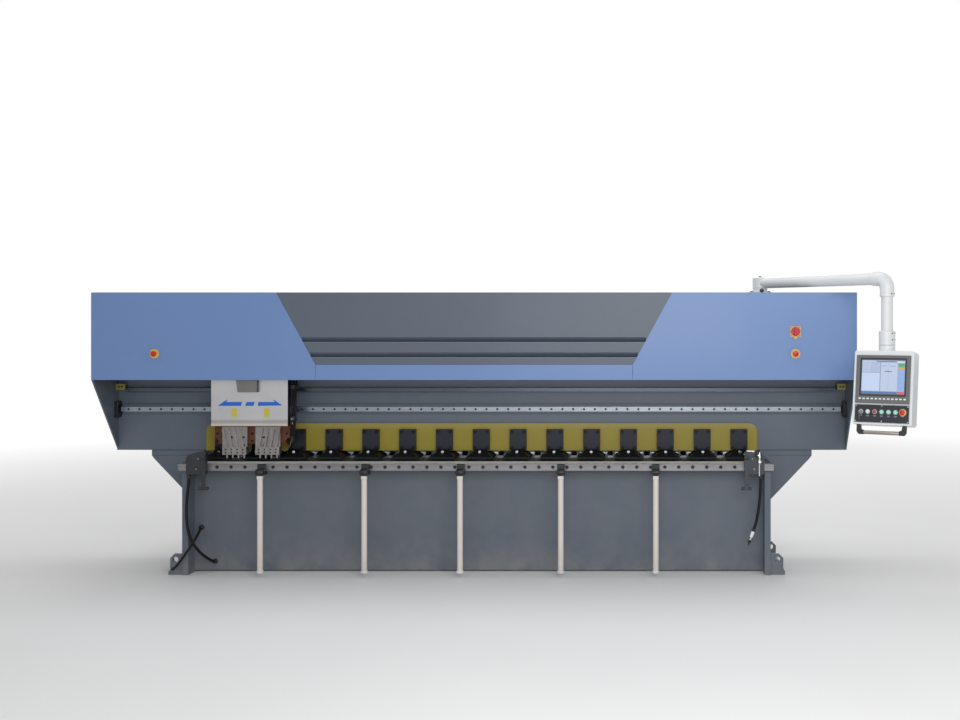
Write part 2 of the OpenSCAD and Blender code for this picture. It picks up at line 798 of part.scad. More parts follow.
// Cross beam on three sliders, with a bore in each for the cross shaft
module gauge_beam() {
    slider_l = 150;
    color("lightgray") difference() {
        union() {
            span([-gauge_half, gauge_y, gauge_z0], [gauge_half, gauge_y + gauge_w, gauge_z0 + gauge_h]);
            for (x = side_xs) span([x - 50, gauge_y + gauge_w / 2 - slider_l / 2, side_z1 + 5],
                [x + 24, gauge_y + gauge_w / 2 + slider_l / 2, gauge_z0]);
        }
        span([-gauge_half - 1, gauge_y + 8, gauge_z0 + 8],
            [gauge_half + 1, gauge_y + gauge_w - 8, gauge_z0 + gauge_h - 8]);
        for (x = side_xs) span([x - guide_w / 2 - run, gauge_y - slider_l, side_z1],
            [x + guide_w / 2 + run, gauge_y + gauge_w + slider_l, side_z1 + guide_h + run]);
        rod_x(gauge_y + gauge_w / 2, shaft_z, shaft2_d + 2 * fit, -gauge_x - 60, gauge_x + 60);
    }
}

function grip_x(i) = press_x(i) + clamp_pitch / 2;

// Long arms that reach under the beam between the feet, each with a thin lower lip
module grippers() {
    arm_z0 = lip_z0 + lip_t;
    color("lightgray") for (i = [0 : press_n - 2]) translate([grip_x(i), 0, 0]) difference() {
        union() {
            span([-grip_w / 2, grip_tip, lip_z0], [grip_w / 2, gauge_y, lip_z0 + lip_t]);
            span([-grip_w / 2, jaw_y + 28, arm_z0], [grip_w / 2, gauge_y, arm_z0 + 30]);
            for (s = [-1, 1]) span([s * (grip_w / 2 - 4) - 4, jaw_y - 22, arm_z0],
                [s * (grip_w / 2 - 4) + 4, jaw_y + 28, arm_z0 + 36]);
        }
        rod_x(jaw_y, jaw_pin_z, hinge_d + 2 * fit, -grip_w, grip_w);
    }
}

module gripper_jaws() {
    z0 = lip_z0 + lip_t + jaw_gap;
    half = grip_w / 2 - 8 - run;
    color("gray") for (i = [0 : press_n - 2]) translate([grip_x(i), 0, 0]) union() {
        wall_yz(-half, 2 * half) polygon([[grip_tip + 2, z0], [jaw_y + 8, z0], [jaw_y + 14, z0 + 8],
            [jaw_y + 14, z0 + jaw_h], [jaw_y - 20, z0 + jaw_h], [grip_tip + 2, z0 + 8]]);
        rod_x(jaw_y, jaw_pin_z, hinge_d, -grip_w / 2, grip_w / 2);
    }
}

// Cross shaft with a bored pinion over each rack
module gauge_shaft() {
    color("silver") {
        rod_x(gauge_y + gauge_w / 2, shaft_z, shaft2_d, -gauge_x - 55, gauge_x + 55);
        for (x = side_xs) translate([x + 29, gauge_y + gauge_w / 2, shaft_z]) rotate([90, 0, 90])
            linear_extrude(22) difference() {
                rotate(90 + 180 / pinion_teeth) polygon(gear_outline(pinion_teeth));
                circle(d = shaft2_d + 2 * run);
            }
    }
}

// ---------- console ----------

arm_len = norm([elbow_dx, elbow_dy]);
arm_angle = atan2(elbow_dy, elbow_dx);

// Flanged post with a spigot that the swing arm turns on
module arm_post() {
    color("lightgray") translate([post_x, post_y, machine_h]) union() {
        cylinder(d = 180, h = 12);
        cylinder(d = 110, h = arm_z - machine_h - arm_d / 2 - run);
        cylinder(d = arm_bore - 2 * fit, h = arm_z - machine_h + 10);
    }
}

// Round arm: hub on the post, long straight, quarter bend and the drop to the console
module arm_tube() {
    drop = arm_z - elbow_r - console_top - 46;
    color("white") translate([post_x, post_y, arm_z]) rotate([0, 0, arm_angle]) difference() {
        union() {
            translate([0, 0, -arm_d / 2]) cylinder(d = 110, h = arm_d);
            rotate([0, 90, 0]) cylinder(d = arm_d, h = arm_len - elbow_r);
            translate([arm_len - elbow_r, 0, -elbow_r]) rotate([90, 0, 0])
                rotate_extrude(angle = 90) translate([elbow_r, 0]) circle(d = arm_d);
            translate([arm_len, 0, -elbow_r - drop]) cylinder(d = arm_d, h = drop);
            translate([arm_len, 0, -elbow_r - drop]) cylinder(d = collar_d, h = 42);
        }
        translate([0, 0, -arm_d / 2 - 1]) cylinder(d = arm_bore, h = arm_d / 2 + 12);
        translate([arm_len, 0, -elbow_r - drop - 1]) cylinder(d = arm_bore, h = drop);
    }
}

// The console's frame: x across, y from the face backwards, z up from its lower edge
module at_console() {
    translate([console_cx, console_cy, console_top]) rotate([0, 0, -console_yaw])
        rotate([-console_tilt, 0, 0]) translate([0, -console_t / 2, -console_h]) children();
}

module console() {
    edge = 12;
    wall = 3;
    color("white") difference() {
        union() {
            at_console() translate([0, console_t, 0]) rotate([90, 0, 0]) linear_extrude(console_t)
                for (a = [0, 1]) translate([-console_w / 2 + a * edge, (1 - a) * edge])
                    square([console_w - 2 * a * edge, console_h - 2 * (1 - a) * edge]);
            translate([console_cx, console_cy, console_top - 20]) cylinder(d = collar_d, h = 66 - run);
            translate([console_cx, console_cy, console_top]) cylinder(d = arm_bore - 2 * fit, h = 110);
        }
        at_console() {
            span([-console_w / 2 + edge + wall, wall, edge + wall],
                [console_w / 2 - edge - wall, console_t - wall, console_h - 40]);
            span([-3.6 * button_pitch, -1, button_up - 26], [3.6 * button_pitch, wall + 1, button_up + 26]);
        }
    }
}

// Raised bezel with the screen, and the button panel with its bores
module console_face() {
    screen_w = 290;
    screen_h = 225;
    color("darkslategray") at_console() {
        difference() {
            span([-bezel_w / 2, -face_t, console_h - 32 - bezel_h], [bezel_w / 2, 0, console_h - 32]);
            span([-screen_w / 2, -face_t - 1, console_h - 64 - screen_h], [screen_w / 2, -face_t + 3, console_h - 64]);
        }
        difference() {
            span([-bezel_w / 2, -face_t / 2, 14], [bezel_w / 2, 0, 14 + panel_h]);
            for (k = [-3 : 3]) rod_y(k * button_pitch, button_up, 2 * (stem_r + fit), -face_t, 1);
        }
    }
}

module console_handle() {
    reach = 150;
    color("gray") at_console() union() {
        rod_x(10, -48, 26, -reach, reach);
        for (s = [-1, 1]) span([s * reach - 13, -4, -64], [s * reach + 13, 24, 0]);
    }
}

// A push button at station k along the panel, its stem reaching through the panel
module push_button(k, r, h) {
    back = -face_t / 2 - 5;
    at_console() union() {
        rod_y(k * button_pitch, button_up, 2 * stem_r, back - 1, 8);
        rod_y(k * button_pitch, button_up, 2 * r, back - h, back);
    }
}

module key_switch() {
    color("silver") union() {
        push_button(-3, cap_r, 6);
        at_console() span([-3 * button_pitch - 2, -face_t / 2 - 34, button_up - 8],
            [-3 * button_pitch + 2, -face_t / 2 - 10, button_up + 8]);
    }
}

module white_button() {
    color("white") push_button(-2, cap_r, 5);
}

module red_button() {
    color("red") push_button(-1, cap_r, 5);
}

module green_button_1() {
    color("green") push_button(0, cap_r, 5);
}

module green_button_2() {
    color("green") push_button(1, cap_r, 5);
}

module green_button_3() {
    color("green") push_button(2, cap_r, 5);
}

module console_stop() {
    color("red") push_button(3, 18, 14);
}

// ---------- front bar equipment ----------

// Clamps of the support arms, the two end brackets with their pivot studs, and the hose fittings
module bar_clamps() {
    lip_z = bar_z0 - 20;
    front = bar_y0 - bracket_t;
    color("black") {
        for (x = arm_xs) translate([x, 0, 0]) difference() {
            union() {
                span([-knuckle_w / 2, bar_y0 - 28, lip_z], [knuckle_w / 2, bar_y0, bar_z1]);
                span([-knuckle_w / 2, bar_y0 - 28, lip_z], [knuckle_w / 2, -base_front - 4, bar_z0]);
                for (s = [-1, 1]) span([s * (knuckle_w - ear_t) / 2 - ear_t / 2, hinge_y - 22, lip_z],
                    [s * (knuckle_w - ear_t) / 2 + ear_t / 2, bar_y0 - 28, hinge_z + 22]);
            }
            rod_x(hinge_y, hinge_z, hinge_d + 2 * fit, -knuckle_w, knuckle_w);
        }
        both_ends() union() {
            wall_xz(front, bracket_t) polygon([[bar_half - 213, bar_z0 - bracket_drop],
                [bar_half - 213, table_h + 84], [bar_half - 160, table_h + 84],
                [bar_half - 84, table_h + 66], [bar_half - 72, table_h + 40],
                [bar_half - 72, bar_z0 - bracket_drop]]);
            rod_y(lever_x, lever_z, 16, front - 13, front + 1);
        }
    }
    color("silver") {
        for (p = [left_route[0], air_route[0]]) translate(p)
            cylinder(d = fitting_d, h = bar_z0 - bracket_drop - p[2]);
    }
}
lever_x = bar_half - 199;
lever_z = table_h + 45;

// Flat lever with two ball knobs on a cross rod at its lower end
module end_lever() {
    front = bar_y0 - bracket_t;
    low = lever_z - 218;
    difference() {
        union() {
            wall_xz(front - 11, 8) union() {
                translate([lever_x - 14, low]) square([28, lever_z - low]);
                translate([lever_x, lever_z]) circle(d = 34);
                translate([lever_x, low]) circle(d = 28);
            }
            rod_x(front - 7, low, 8, lever_x - 26, lever_x + 26);
            for (s = [-1, 1]) translate([lever_x + s * 26, front - 7, low]) rotate([0, 90, 0])
                rotate_extrude() intersection() {
                    circle(d = 26);
                    translate([0, -11]) square([13, 22]);
                }
        }
        rod_y(lever_x, lever_z, 16 + 2 * fit, front - 20, front + 1);
    }
}

module lever_left() {
    color("black") mirror([1, 0, 0]) end_lever();
}

module lever_right() {
    color("black") end_lever();
}

// Tube that hangs from its clamp and swings up to carry a sheet
module support_arm(i) {
    low = 35;
    head_w = knuckle_w - 2 * ear_t - 2 * run;
    color("white") translate([arm_xs[i], hinge_y, 0]) union() {
        rod_x(0, hinge_z, hinge_d, -knuckle_w / 2, knuckle_w / 2);
        rod_x(0, hinge_z, tube_d, -head_w / 2, head_w / 2);
        span([-head_w / 2, -13, hinge_z - 46], [head_w / 2, 13, hinge_z]);
        translate([0, 0, low]) difference() {
            cylinder(d = tube_d, h = hinge_z - 46 - low);
            translate([0, 0, 20]) cylinder(d = tube_d - 6, h = hinge_z - 86 - low);
        }
        translate([0, 0, low]) cylinder(d = tube_d + 9, h = 17);
    }
}

module support_arm_1() {
    support_arm(0);
}

module support_arm_2() {
    support_arm(1);
}

module support_arm_3() {
    support_arm(2);
}

module support_arm_4() {
    support_arm(3);
}

module support_arm_5() {
    support_arm(4);
}

module air_hose() {
    color("black") line_tube(air_route, hose_d);
}

// Coupling and blow nozzle on the hose's end
module air_nozzle() {
    dir = unit(nozzle_tip - nozzle_top);
    lean = acos(-dir[2]);
    l = norm(nozzle_tip - nozzle_top);
    color("white") translate(nozzle_top) rotate([0, lean, 0]) mirror([0, 0, 1]) rotate_extrude()
        polygon([[0, 0], [13, 0], [14, 6], [14, 16], [9, 20], [9, 24], [12, 28], [12, 62], [8, 66],
            [8, 74], [11, 78], [11, 92], [5, 98], [4, l], [0, l]]);
}

module left_lines() {
    color("black") {
        line_tube(left_route, hose_d);
        line_tube(ground_route, cable_d);
    }
}

side_frames();
base_panels();
table_top();
wear_strip();
front_bar();
anchor_feet();
columns();
beam();
end_plates();
blue_covers();
louvre_panel();
top_cover();
beam_rails();
press_plate();
press_blocks();
socket_screws();
rail_fittings();
switch_plates();
estop_left();
estop_right();
isolator_knob();
carriage_plate();
bearing_blocks();
carriage_cover();
servo_motors();
drive_pinion();
ball_screw();
tool_slide();
tool_block();
tool_holders();
cutters();
press_shoes();
gauge_frame();
gauge_beam();
grippers();
gripper_jaws();
gauge_shaft();
arm_post();
arm_tube();
console();
console_face();
console_handle();
key_switch();
white_button();
red_button();
green_button_1();
green_button_2();
green_button_3();
console_stop();
bar_clamps();
lever_left();
lever_right();
air_hose();
air_nozzle();
left_lines();
support_arm_1();
support_arm_2();
support_arm_3();
support_arm_4();
support_arm_5();
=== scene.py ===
# Looks of a sheet V-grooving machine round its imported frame.
# Metres throughout: +X is the operator's right, +Y the rear, +Z up.
import json
import math

import bpy
import numpy as np
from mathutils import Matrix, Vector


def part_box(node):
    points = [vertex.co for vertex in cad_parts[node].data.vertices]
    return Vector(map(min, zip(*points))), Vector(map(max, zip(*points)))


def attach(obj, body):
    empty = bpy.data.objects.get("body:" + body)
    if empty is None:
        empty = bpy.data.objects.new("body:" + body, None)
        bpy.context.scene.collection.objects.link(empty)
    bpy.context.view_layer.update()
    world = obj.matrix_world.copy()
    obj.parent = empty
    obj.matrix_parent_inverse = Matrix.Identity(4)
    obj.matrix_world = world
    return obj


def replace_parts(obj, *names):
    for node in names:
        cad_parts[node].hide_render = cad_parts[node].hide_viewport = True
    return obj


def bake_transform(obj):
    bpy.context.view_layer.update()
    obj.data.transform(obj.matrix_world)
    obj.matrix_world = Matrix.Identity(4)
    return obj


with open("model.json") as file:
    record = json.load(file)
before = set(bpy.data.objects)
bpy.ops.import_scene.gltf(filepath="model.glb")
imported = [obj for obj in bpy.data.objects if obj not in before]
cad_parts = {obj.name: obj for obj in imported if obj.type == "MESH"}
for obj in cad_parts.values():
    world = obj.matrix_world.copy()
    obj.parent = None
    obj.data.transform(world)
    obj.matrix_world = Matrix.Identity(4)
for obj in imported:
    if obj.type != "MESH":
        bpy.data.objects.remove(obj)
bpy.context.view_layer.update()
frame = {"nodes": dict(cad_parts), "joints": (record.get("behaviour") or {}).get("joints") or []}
nodes = frame["nodes"]
joints = {joint["name"]: joint for joint in frame["joints"]}
scene = bpy.context.scene
print("frame loaded with", len(nodes), "nodes")


# places read from the frame
box = {name: np.array(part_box(name)) for name in nodes}
carriageX = box["carriage_cover"][:, 0].mean()
hoodFace = box["carriage_cover"][0, 1] + 0.026
railFace = box["beam_rails"][0, 1]
railHeights = (box["beam_rails"][0, 2] + 0.0175, box["beam_rails"][1, 2] - 0.0175)
coverFront = box["blue_covers"][0, 1]
roof = box["top_cover"][1, 2]

# ways that a shape modelled along +Z can be turned to face
ways = dict(
    front=np.array([[1, 0, 0], [0, 0, -1], [0, 1, 0]]),
    rear=np.array([[1, 0, 0], [0, 0, 1], [0, -1, 0]]),
    right=np.array([[0, 0, 1], [0, 1, 0], [-1, 0, 0]]),
    left=np.array([[0, 0, -1], [0, 1, 0], [1, 0, 0]]),
)


# A shape is a pair: points as an (n, 3) array, and a list of face arrays of equal corner counts

def moved(shape, *offset):
    # each point plus the offset
    return shape[0] + np.array(offset, float), shape[1]


def repeated(shape, places):
    # the shape's points added to each place, and its faces counted up by one copy's points
    places = np.atleast_2d(np.array(places, float))
    count = len(shape[0])
    points = (places[:, None, :] + shape[0][None, :, :]).reshape(-1, 3)
    steps = (np.arange(len(places)) * count)[:, None, None]
    return points, [(faces[None] + steps).reshape(-1, faces.shape[1]) for faces in shape[1]]


def placed(shape, way, *places):
    # the shape, made along +Z, turned to face a way and copied to each place
    return repeated((shape[0] @ ways[way].T, shape[1]), places)


def grid(xs, ys, zs):
    # a place for each combination of the given coordinates
    return [(x, y, z) for x in np.atleast_1d(xs) for y in np.atleast_1d(ys) for z in np.atleast_1d(zs)]


def joined(*shapes):
    # all points in one list, and each part's faces counted up by the points before it
    starts = np.cumsum([0] + [len(shape[0]) for shape in shapes[:-1]])
    faces = [face + start for shape, start in zip(shapes, starts) for face in shape[1]]
    return np.concatenate([shape[0] for shape in shapes]), faces


def mirrored(shape):
    # the shape and its image across x = 0, whose faces are turned round
    return joined(shape, (shape[0] * (-1.0, 1.0, 1.0), [faces[:, ::-1] for faces in shape[1]]))


def gridQuads(rows, columns):
    # corner numbers of the quads between neighbouring rings of a rows by columns grid
    row = np.arange(rows - 1)[:, None]
    column = np.arange(columns)[None, :]
    after = (column + 1) % columns
    corners = [row * columns + column, row * columns + after,
               (row + 1) * columns + after, (row + 1) * columns + column]
    return np.stack(corners, -1).reshape(-1, 4)


def tubeFaces(rows, columns):
    # the quads of a tube and a face over each of its ends
    first = np.arange(columns)[None, ::-1]
    last = (rows - 1) * columns + np.arange(columns)[None, :]
    return [gridQuads(rows, columns), first, last]


def lathe(profile, sides=24, loop=False):
    # point (row, side) = radius * (cos a, sin a), height; a loop profile is closed on itself
    profile = np.array(profile, float)[:, None]
    rows = len(profile)
    angle = np.arange(sides) * 2 * math.pi / sides
    radius, height = profile[..., 0], profile[..., 1]
    points = np.stack([radius * np.cos(angle), radius * np.sin(angle), height + 0 * angle], -1)
    points = points.reshape(-1, 3)
    if loop:
        return points, [gridQuads(rows + 1, sides) % (rows * sides)]
    return points, tubeFaces(rows, sides)


def prism(outline, depth):
    # a flat outline, anticlockwise in X and Y, carried along +Z
    low = np.pad(np.array(outline, float), ((0, 0), (0, 1)))
    return np.concatenate([low, low + (0, 0, depth)]), tubeFaces(2, len(low))


def block(low, high):
    # a rectangle at the lowest corner, carried up to the highest
    width, length, height = np.array(high, float) - low
    return moved(prism([(0, 0), (width, 0), (width, length), (0, length)], height), *low)


def roundedRect(width, height, radius, steps=4):
    # quarter circles round four corner centres
    angle = np.linspace(0, math.pi / 2, steps + 1)
    parts = []
    for quarter, (sideX, sideY) in enumerate([(1, 1), (-1, 1), (-1, -1), (1, -1)]):
        turn = angle + quarter * math.pi / 2
        parts.append(np.stack([sideX * (width / 2 - radius) + radius * np.cos(turn),
                               sideY * (height / 2 - radius) + radius * np.sin(turn)], -1))
    return np.concatenate(parts)


def smoothPath(points, steps=6):
    # Catmull-Rom curve through the points: a cubic in t between each neighbouring pair
    p = np.array(points, float)
    p = np.concatenate([2 * p[:1] - p[1:2], p, 2 * p[-1:] - p[-2:-1]])
    t = (np.arange(steps) / steps)[None, :, None]
    a, b, c, d = (p[i:len(p) - 3 + i, None, :] for i in range(4))
    curve = 0.5 * (2 * b + (c - a) * t + (2 * a - 5 * b + 4 * c - d) * t**2
                   + (3 * b - a - 3 * c + d) * t**3)
    return np.concatenate([curve.reshape(-1, 3), p[-2:-1]])


def pathLength(path):
    # sum of the distances between neighbouring points
    return float(np.linalg.norm(np.diff(path, axis=0), axis=1).sum())


def sweptTube(path, radius, sides=16, across=(0.13, 0.99, 0.02)):
    # rings square to the path: path + radius * (cos a * u + sin a * w); radius may change along it
    path = np.array(path, float)
    tangent = np.gradient(path, axis=0)
    tangent /= np.linalg.norm(tangent, axis=1)[:, None]
    u = np.cross(tangent, across)
    u /= np.linalg.norm(u, axis=1)[:, None]
    w = np.cross(tangent, u)
    angle = (np.arange(sides) * 2 * math.pi / sides)[None, :, None]
    radius = np.broadcast_to(radius, len(path))[:, None, None]
    points = path[:, None] + radius * (u[:, None] * np.cos(angle) + w[:, None] * np.sin(angle))
    return points.reshape(-1, 3), tubeFaces(len(path), sides)


def weldBead(start, end, radius=0.0035):
    # a half-sunk bead: its radius at ring k is radius * (1 + 0.15 sin(2.1 k))
    start, end = np.array(start, float), np.array(end, float)
    count = max(3, int(np.linalg.norm(end - start) / 0.005))
    path = start + (end - start) * np.linspace(0, 1, count)[:, None]
    swell = radius * (1 + 0.15 * np.sin(np.arange(count) * 2.1))
    return sweptTube(path, swell, 8, across=(0.31, 0.52, 0.79))


def aimed(shape, start, end):
    # the shape, made along +Z from the origin, laid from start towards end
    axis = np.array(end, float) - start
    axis /= np.linalg.norm(axis)
    side = np.cross((0.0, 1.0, 0.0), axis)
    if np.linalg.norm(side) < 0.05:
        side = np.cross((1.0, 0.0, 0.0), axis)
    side /= np.linalg.norm(side)
    return shape[0] @ np.stack([side, np.cross(axis, side), axis]) + start, shape[1]


def alongX(shape):
    # an outline in Y and Z, carried along +X
    return shape[0][:, [2, 0, 1]], shape[1]


def facing(outline, depth, back=0.0):
    # an outline in X and Z, carried from Y = back towards -Y
    return placed(prism(outline, depth), "front", (0, back, 0))


def trapezoid(lowWidth, highWidth, low, high):
    # four corners, even about x = 0, with a width at each of two heights
    return [(-lowWidth / 2, low), (lowWidth / 2, low), (highWidth / 2, high), (-highWidth / 2, high)]


def stud(radius, height, sides=14):
    # a low disc with its rim turned off
    return lathe([(radius, 0), (radius, height * 0.7), (radius * 0.9, height)], sides)


def screwHead(radius, height):
    # low round head with a socket sunk in its middle
    return lathe([(radius, 0), (radius, height * 0.7), (radius * 0.82, height),
                  (radius * 0.5, height), (radius * 0.46, height * 0.35)], 18)


def hexHead(width, height):
    # hexagon whose top corners are turned off, over a thin washer
    washer = lathe([(width * 0.68, 0), (width * 0.68, height * 0.2)], 24)
    head = lathe([(width * 0.57, height * 0.2), (width * 0.57, height * 0.85), (width * 0.46, height)], 6)
    return joined(washer, head)


def addPiece(name, shape, finish, body="frame", bevel=0.0, segments=2, angle=35):
    # one mesh that rides on a body, with its finish and, where asked for, small bevels on its edges
    points, faceSets = shape
    mesh = bpy.data.meshes.new(name)
    mesh.from_pydata(points.tolist(), [], [face for faces in faceSets for face in faces.tolist()])
    mesh.set_sharp_from_angle(angle=math.radians(angle))
    mesh.materials.append(finishes[finish])
    piece = bpy.data.objects.new(name, mesh)
    scene.collection.objects.link(piece)
    if bevel:
        cut = piece.modifiers.new("edges", "BEVEL")
        cut.width = bevel
        cut.segments = segments
        cut.limit_method = "ANGLE"
        cut.angle_limit = math.radians(40)
    if body:
        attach(piece, body)
    return piece


# camera: square to the machine's front, moved off its middle by the shift

camera = dict(place=(1.173, -8.367, 1.837), lens=42.46, shift=(-0.1667, -0.0427))


def makeCamera():
    # level, looking along +Y
    data = bpy.data.cameras.new("camera")
    data.lens = camera["lens"]
    data.shift_x, data.shift_y = camera["shift"]
    viewer = bpy.data.objects.new("camera", data)
    viewer.location = camera["place"]
    viewer.rotation_euler = (math.radians(90), 0, 0)
    scene.collection.objects.link(viewer)
    scene.camera = viewer


makeCamera()


# shader building

def colour(red, green, blue):
    # 0 to 255 display values as a linear colour
    shown = np.array([red, green, blue]) / 255
    linear = np.where(shown > 0.04045, ((shown + 0.055) / 1.055) ** 2.4, shown / 12.92)
    return (*linear.tolist(), 1.0)


def feed(node, **inputs):
    # gives each input a link or a plain value; i0, i1 ... count them, and _ in a name stands for a space
    for key, value in inputs.items():
        socket = node.inputs[int(key[1:]) if key[1:].isdigit() else key.replace("_", " ")]
        if isinstance(value, bpy.types.NodeSocket):
            node.id_data.links.new(value, socket)
        else:
            socket.default_value = value
    return node


def addNode(tree, kind, settings=None, **inputs):
    # a shader node with its settings, and a value or a link on each input
    node = tree.nodes.new("ShaderNode" + kind)
    for key, value in (settings or {}).items():
        setattr(node, key, value)
    return feed(node, **inputs)


def mathNode(tree, operation, a, b=0.0, clamp=False):
    # result of one operation on a and b
    settings = dict(operation=operation, use_clamp=clamp)
    return addNode(tree, "Math", settings, i0=a, i1=b).outputs[0]


def times(tree, a, b, clamp=False):
    return mathNode(tree, "MULTIPLY", a, b, clamp)


def plus(tree, a, b, clamp=False):
    return mathNode(tree, "ADD", a, b, clamp)


def vectorNode(tree, operation, a, **inputs):
    return addNode(tree, "VectorMath", dict(operation=operation), i0=a, **inputs).outputs


def mixColour(tree, factor, a, b):
    # a where the factor is 0 and b where it is 1
    return addNode(tree, "Mix", dict(data_type="RGBA"), i0=factor, i6=a, i7=b).outputs[2]


def remap(tree, value, low, high, newLow=0.0, newHigh=1.0):
    # a straight line from low..high to newLow..newHigh, held at its ends
    return addNode(tree, "MapRange", None, i0=value, i1=low, i2=high, i3=newLow, i4=newHigh).outputs[0]


def noise(tree, vector, scale, detail=3.0, roughness=0.5):
    # cloudy pattern around 0.5, with scale cells to the metre
    node = addNode(tree, "TexNoise", None, Vector=vector, Scale=scale, Detail=detail, Roughness=roughness)
    return node.outputs[0]


def bumped(tree, strength, distance, height, normal):
    # the normal, tilted by the slope of the height
    node = addNode(tree, "Bump", None, Strength=strength, Distance=distance, Height=height, Normal=normal)
    return node.outputs[0]


def newGroup(name, values, outputs):
    # a node group that takes a Vector and named values, and gives the named outputs
    group = bpy.data.node_groups.new(name, "ShaderNodeTree")
    group.interface.new_socket("Vector", in_out="INPUT", socket_type="NodeSocketVector")
    for label, value in values.items():
        kind = "NodeSocketVector" if isinstance(value, tuple) else "NodeSocketFloat"
        socket = group.interface.new_socket(label, in_out="INPUT", socket_type=kind)
        socket.default_value = value
    for label, kind in outputs.items():
        group.interface.new_socket(label, in_out="OUTPUT", socket_type="NodeSocket" + kind)
    given, result = group.nodes.new("NodeGroupInput"), group.nodes.new("NodeGroupOutput")
    return group, given.outputs, given.outputs["Vector"], result


def makeEdgeWear():
    # rounds the edges for the light, and marks where they are rubbed bare
    group, given, vector, result = newGroup(
        "edgeWear", dict(Radius=0.002, Amount=0.5), dict(Normal="Vector", Mask="Float"))
    soft = addNode(group, "Bevel", dict(samples=4), Radius=given["Radius"]).outputs[0]
    flat = addNode(group, "NewGeometry").outputs["Normal"]
    edge = remap(group, vectorNode(group, "DOT_PRODUCT", soft, i1=flat)["Value"], 0.995, 0.86)
    chips = remap(group, noise(group, vector, 38.0, 5.0, 0.65), 0.42, 0.62)
    feed(result, Normal=soft, Mask=times(group, times(group, edge, chips), given["Amount"], True))
    return group


def makePaintSkin():
    # orange peel height, and broad and fine unevenness of tone round 1
    group, given, vector, result = newGroup(
        "paintSkin", dict(Peel=260.0, Spread=0.06), dict(Tone="Float", Height="Float"))
    broad = times(group, noise(group, vector, 0.9, 2.0), 0.7)
    fine = times(group, noise(group, vector, 14.0, 4.0), 0.3)
    off = mathNode(group, "SUBTRACT", plus(group, broad, fine), 0.5)
    tone = plus(group, times(group, off, times(group, given["Spread"], 4.0)), 1.0)
    feed(result, Tone=tone, Height=noise(group, vector, given["Peel"], 1.0))
    return group


def makeMetalGrain():
    # fine streaks along whichever axis the vector is least scaled, with faint broad cloudiness
    group, given, vector, result = newGroup(
        "metalGrain", dict(Stretch=(4.0, 300.0, 300.0), Cloud=3.0), dict(Tone="Float", Height="Float"))
    along = vectorNode(group, "MULTIPLY", vector, i1=given["Stretch"])[0]
    streak = noise(group, along, 1.0, 4.0, 0.6)
    cloud = noise(group, vector, given["Cloud"], 3.0)
    tone = plus(group, times(group, streak, 0.6), times(group, cloud, 0.4))
    feed(result, Tone=tone, Height=streak)
    return group


def makeShopDust():
    # dust that settles near the floor and in a thin uneven film higher up
    group, given, vector, result = newGroup("shopDust", dict(Reach=0.35, Film=0.1), dict(Mask="Float"))
    height = addNode(group, "SeparateXYZ", None, i0=vector).outputs[2]
    low = mathNode(group, "SUBTRACT", 1.0, mathNode(group, "DIVIDE", height, given["Reach"]), True)
    patchy = remap(group, noise(group, vector, 5.0, 5.0, 0.6), 0.35, 0.7)
    settled = times(group, mathNode(group, "POWER", low, 2.0), patchy)
    film = times(group, given["Film"], patchy)
    feed(result, Mask=plus(group, settled, film, True))
    return group


edgeWear = makeEdgeWear()
paintSkin = makePaintSkin()
metalGrain = makeMetalGrain()
shopDust = makeShopDust()


def useGroup(tree, group, **inputs):
    # the group placed in a material, with this material's values
    node = tree.nodes.new("ShaderNodeGroup")
    node.node_tree = group
    return feed(node, **inputs).outputs


finishes = {}


def newMaterial(name):
    # a finish under its name: its tree, its shader and the object's own coordinates
    material = finishes[name] = bpy.data.materials.new(name)
    material.use_nodes = True
    tree = material.node_tree
    return tree, tree.nodes["Principled BSDF"], addNode(tree, "TexCoord").outputs["Object"]


def zone(shade, soft, x=(None, None), y=(None, None), z=(None, None)):
    # another shade between limits of the object's coordinates, None where a side is open, with a soft edge
    return shade, soft, (x, y, z)


def shaded(tree, place, shade, zones, factor):
    # the shade, changed inside each zone, and made lighter or darker by a factor round 1
    base = colour(*shade)
    if zones:
        axes = addNode(tree, "SeparateXYZ", None, i0=place).outputs
    for other, soft, limits in zones:
        mask = 1.0
        for axis, (low, high) in enumerate(limits):
            for limit, side in ((low, soft), (high, -soft)):
                if limit is not None:
                    mask = times(tree, mask, remap(tree, axes[axis], limit - side, limit + side))
        base = mixColour(tree, mask, base, colour(*other))
    return vectorNode(tree, "SCALE", base if zones else base[:3], Scale=factor)[0]


def paintedMetal(name, shade, bare=(120, 124, 128), rough=0.42, spread=0.05, wear=0.5,
                 edge=0.002, peel=260.0, coat=0.0, dust=0.0, specular=0.5, zones=()):
    # sprayed paint over steel: orange peel, uneven tone, rubbed edges and a little dust
    tree, shader, place = newMaterial(name)
    skin = useGroup(tree, paintSkin, Vector=place, Peel=peel, Spread=spread)
    worn = useGroup(tree, edgeWear, Vector=place, Radius=edge, Amount=wear)
    paint = shaded(tree, place, shade, zones, skin["Tone"])
    surface = mixColour(tree, worn["Mask"], paint, colour(*bare))
    dusty = useGroup(tree, shopDust, Vector=place, Reach=0.35, Film=dust)["Mask"]
    surface = mixColour(tree, times(tree, dusty, 0.5), surface, colour(150, 147, 142))
    feed(shader, Base_Color=surface, Metallic=times(tree, worn["Mask"], 0.8),
         Roughness=plus(tree, times(tree, dusty, 0.3), rough, True),
         Normal=bumped(tree, 0.12, 0.0004, skin["Height"], worn["Normal"]),
         Coat_Weight=coat, Coat_Roughness=0.12, Specular_IOR_Level=specular)


